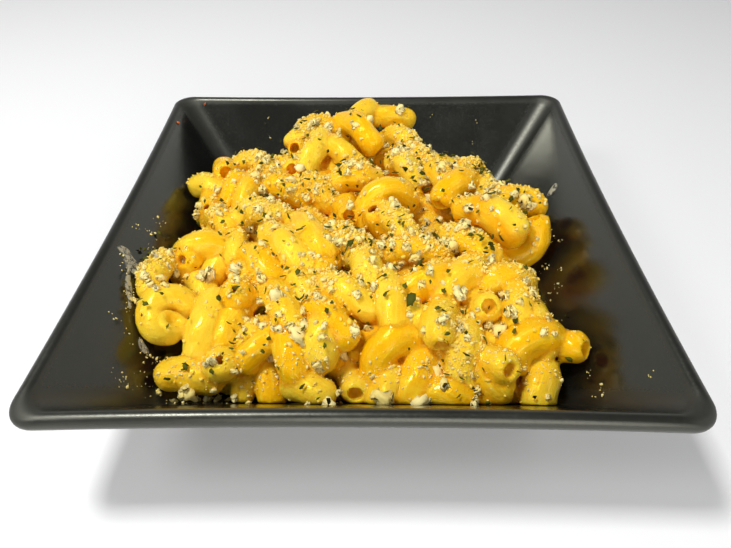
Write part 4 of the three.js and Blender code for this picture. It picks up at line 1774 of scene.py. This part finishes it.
BIG_FLAKES = (
    # right and near side
    Sighting(417, 268, 16), Sighting(410, 306, 18), Sighting(388, 295, 9), Sighting(444, 294, 9),
    Sighting(465, 355, 10), Sighting(484, 370, 6), Sighting(461, 378, 8), Sighting(444, 366, 9),
    Sighting(496, 321, 6), Sighting(518, 325, 8), Sighting(464, 310, 8),
    # middle and left
    Sighting(305, 301, 11), Sighting(339, 275, 8), Sighting(327, 313, 9), Sighting(360, 310, 7),
    Sighting(387, 297, 8), Sighting(324, 345, 8), Sighting(272, 339, 8), Sighting(247, 291, 7),
    Sighting(161, 294, 8), Sighting(194, 291, 6), Sighting(187, 367, 9), Sighting(237, 367, 5),
    Sighting(148, 262, 12), Sighting(272, 256, 6),
    # far side and top of the heap
    Sighting(414, 177, 9), Sighting(403, 167, 9), Sighting(442, 192, 8), Sighting(512, 199, 9),
    Sighting(525, 211, 14), Sighting(403, 226, 8), Sighting(397, 210, 8), Sighting(438, 245, 7),
    Sighting(430, 223, 7), Sighting(471, 236, 8), Sighting(480, 242, 10), Sighting(357, 185, 8),
    Sighting(353, 243, 11), Sighting(369, 247, 14), Sighting(392, 247, 10), Sighting(382, 237, 6),
    Sighting(509, 210, 6), Sighting(367, 246, 9), Sighting(404, 226, 8), Sighting(331, 307, 12),
    Sighting(421, 268, 14), Sighting(407, 305, 16),
)

DAMP = ToastedCrumb("damp_crumb", (1.0, 0.83, 0.28), (0.98, 0.66, 0.08))
SOAKED = ToastedCrumb("soaked_crumb", (1.0, 0.76, 0.13), (0.98, 0.61, 0.02))
SPICE = ToastedCrumb("spice", (0.85, 0.25, 0.02), (0.45, 0.02, 0.02))
SPECKS = (Sighting(205, 104, 3), Sighting(178, 123, 3))
PANEL_FLAKES = (
    (-53, 87, 0.3, 1), (29.5, 81.5, 0.3, 1), (76.5, -37, 0.4, 1), (-84, -14, 2.5, 3), (-86, -2, 1.5, 2),
)
TOPPINGS = (
    Topping(Grain.COARSE, 380, 1.2, 2.5, 31, 0.22, 0.10, 22, placed=BIG_CRUMBS, boost=1.45, smooth=False),
    Topping(Grain.MEDIUM, 1500, 0.7, 1.6, 32, 0.32, 0.04, finish=DAMP, smooth=False,
            strays=((-78, -21, 2.0, 3), (-77, -56, 1.8, 3))),
    Topping(Grain.FINE, 3600, 0.38, 1.0, 33, 0.30, 0.03, 24, finish=SOAKED),
    Topping(Grain.DUST, 1500, 0.18, 0.40, 35, 0.10, 0.08, 20, strays=PANEL_GROUPS + FLOOR_GROUPS),
    Topping(Grain.LOOSE, 0, 0.30, 0.95, 36, 0.10, strays=PANEL_GROUPS + FLOOR_GROUPS),
    Topping(Grain.SPECK, 0, 0.4, 0.6, 39, 0.2, finish=SPICE, placed=SPECKS),
    Topping(Grain.HERB, 480, 2.2, 4.6, 38, 0.0, 0.35, 28, finish=DriedHerb(), placed=BIG_FLAKES, boost=2.0,
            least=2.0, smooth=False, strays=PANEL_FLAKES),
)


@dataclass(frozen=True)
class Smear:
    """A thin film of sauce wiped over the glaze."""

    line: tuple[tuple[float, float], ...]
    width: float
    depth: float = 0.35
    seed: int = 1
    steps: int = 36
    across: int = 9

    def build(self, surface: Surface) -> bpy.types.Object:
        """Lays the film on the dish.

        Args:
            surface: The food and the dish.

        Returns:
            The film.
        """
        route = np.array(self.line)
        along = np.linspace(0, 1, self.steps)
        knots = np.linspace(0, 1, len(route))
        middle = np.stack([np.interp(along, knots, route[:, i]) for i in (0, 1)], 1)
        way = np.gradient(middle, axis=0)
        way /= np.linalg.norm(way, axis=1)[:, None]
        side = np.stack([-way[:, 1], way[:, 0]], 1)
        out = np.linspace(-1, 1, self.across)
        samples = np.column_stack([middle, np.full(self.steps, self.seed)])
        ragged = 1 + 0.45 * value_noise(samples, 2.5, self.seed)
        half = self.width * ragged * np.sqrt(np.clip(1 - (2 * along - 1) ** 4, 0.02, 1))
        places = middle[:, None] + side[:, None] * (out[None, :, None] * half[:, None, None])
        landed, normals, _ = surface.fall(places.reshape(-1, 2), np.zeros((places.size // 2, 2)))
        body = np.outer(np.ones(self.steps), np.sqrt(np.clip(1 - out**2, 0, 1))).ravel()
        points = landed + normals * (0.05 + self.depth * body)[:, None]
        rows = np.arange(self.steps * self.across).reshape(self.steps, self.across)
        quads = np.stack([rows[:-1, :-1], rows[1:, :-1], rows[1:, 1:], rows[:-1, 1:]], -1).reshape(-1, 4)
        film = mesh_object("thin_sauce", points, quads, {"cover": np.clip(1.3 * body, 0, 1)})
        film.data.materials.append(ThinSauce().material())
        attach(film, ROOT)
        LOG.info("%s: %d faces", film.name, len(film.data.polygons))
        return film


SMEARS = (
    Smear(((-92, -20), (-89, -23), (-85, -28)), 3.0, 0.35, 3),
    Smear(((-88.5, -27), (-87, -34), (-84.5, -43)), 0.8, 0.3, 7),
    Smear(((-84, -12), (-81, -17), (-79, -22)), 1.3, 0.25, 4),
    Smear(((-80, -52), (-77.5, -56)), 1.2, 0.25, 5),
    Smear(((83.0, 29.0), (86.2, 32.8)), 1.5, 0.7, 6),
)


# ----------------------------------------------------------------------- stage
@dataclass
class Studio:
    """The floor, the lights and the camera."""

    sensor: float = 36.0
    horizon: float = 0.85
    zenith: float = 0.18

    def camera(self) -> bpy.types.Object:
        """The usual view's camera, aimed by its right and up directions.

        Returns:
            The camera.
        """
        data = bpy.data.cameras.new("camera")
        data.lens = VIEW.lens(self.sensor)
        data.sensor_width = self.sensor
        data.clip_start = 0.01
        camera = bpy.data.objects.new("camera", data)
        right, up = Vector(VIEW.right), Vector(VIEW.up)
        back = right.cross(up)
        turn = Matrix((right, up, back)).transposed().to_4x4()
        camera.matrix_world = Matrix.Translation(Vector(VIEW.eye()) * MM) @ turn
        bpy.context.scene.collection.objects.link(camera)
        bpy.context.scene.camera = camera
        return camera

    def floor(self) -> bpy.types.Object:
        """A wide pale floor.

        Returns:
            The floor.
        """
        reach = 6000.0
        points = np.array([[-reach, -reach, 0], [reach, -reach, 0], [reach, reach, 0], [-reach, reach, 0]])
        floor = mesh_object("floor", points, np.array([[0, 1, 2, 3]]))
        floor.data.materials.append(PaleFloor().material())
        return floor

    def softbox(self, name: str, place: Point, aim: Point, size: float, power: float) -> None:
        """Adds a square soft light.

        Args:
            name: Its name.
            place: Where it hangs, in metres.
            aim: The point that it faces, in metres.
            size: Its side in metres.
            power: Its power in watts.
        """
        data = bpy.data.lights.new(name, "AREA")
        data.shape = "SQUARE"
        data.size = size
        data.energy = power
        light = bpy.data.objects.new(name, data)
        way = Vector(aim) - Vector(place)
        light.matrix_world = Matrix.Translation(place) @ way.to_track_quat("-Z", "Y").to_matrix().to_4x4()
        bpy.context.scene.collection.objects.link(light)

    def lights(self) -> None:
        """Soft light from all round, with a small softbox over the dish and three more round it."""
        world = bpy.data.worlds.new("studio")
        world.use_nodes = True
        nodes, links = world.node_tree.nodes, world.node_tree.links
        way = nodes.new("ShaderNodeTexCoord")
        split = nodes.new("ShaderNodeSeparateXYZ")
        fade = nodes.new("ShaderNodeMapRange")
        fade.inputs["From Min"].default_value = 0.05
        fade.inputs["From Max"].default_value = 0.6
        fade.inputs["To Min"].default_value = self.horizon
        fade.inputs["To Max"].default_value = self.zenith
        links.new(way.outputs["Generated"], split.inputs[0])
        links.new(split.outputs["Z"], fade.inputs["Value"])
        links.new(fade.outputs[0], nodes["Background"].inputs["Strength"])
        nodes["Background"].inputs["Color"].default_value = (1.0, 1.0, 1.0, 1.0)
        bpy.context.scene.world = world
        self.softbox("top_box", (-0.32, -0.02, 0.90), (0, 0, 0.02), 0.17, 5.6)
        self.softbox("left_box", (-0.7, -0.3, 0.8), (0, 0, 0.02), 0.25, 1.8)
        self.softbox("right_box", (0.76, -0.22, 0.62), (0, 0, 0.02), 0.25, 0.4)
        self.softbox("front_box", (0.1, -0.70, 0.35), (0, -0.10, 0.0), 0.5, 2.4)

    def build(self) -> None:
        """Sets up the whole stage."""
        self.camera()
        self.floor()
        self.lights()
        bpy.context.scene.view_settings.view_transform = "Standard"


def main() -> None:
    """Builds every piece in order and reports it."""
    logging.basicConfig(level=logging.INFO, format="%(message)s")
    Studio().build()
    dish = Dish()
    plate = dish.build()
    LOG.info("%s: %d faces", plate.name, len(plate.data.polygons))
    heap = Heap(dish)
    food = heap.build()
    LOG.info("%s: %d faces", food.name, len(food.data.polygons))
    surface = Surface(food, plate, heap.clean)
    strewn: dict[Grain, bpy.types.Object] = {}
    for topping in TOPPINGS:
        if topping.grain is Grain.HERB:
            surface = Surface(food, plate, heap.clean, [strewn[Grain.COARSE], strewn[Grain.MEDIUM]])
        strewn[topping.grain] = topping.build(surface)
    for smear in SMEARS:
        smear.build(surface)


if __name__ == "__main__":
    main()
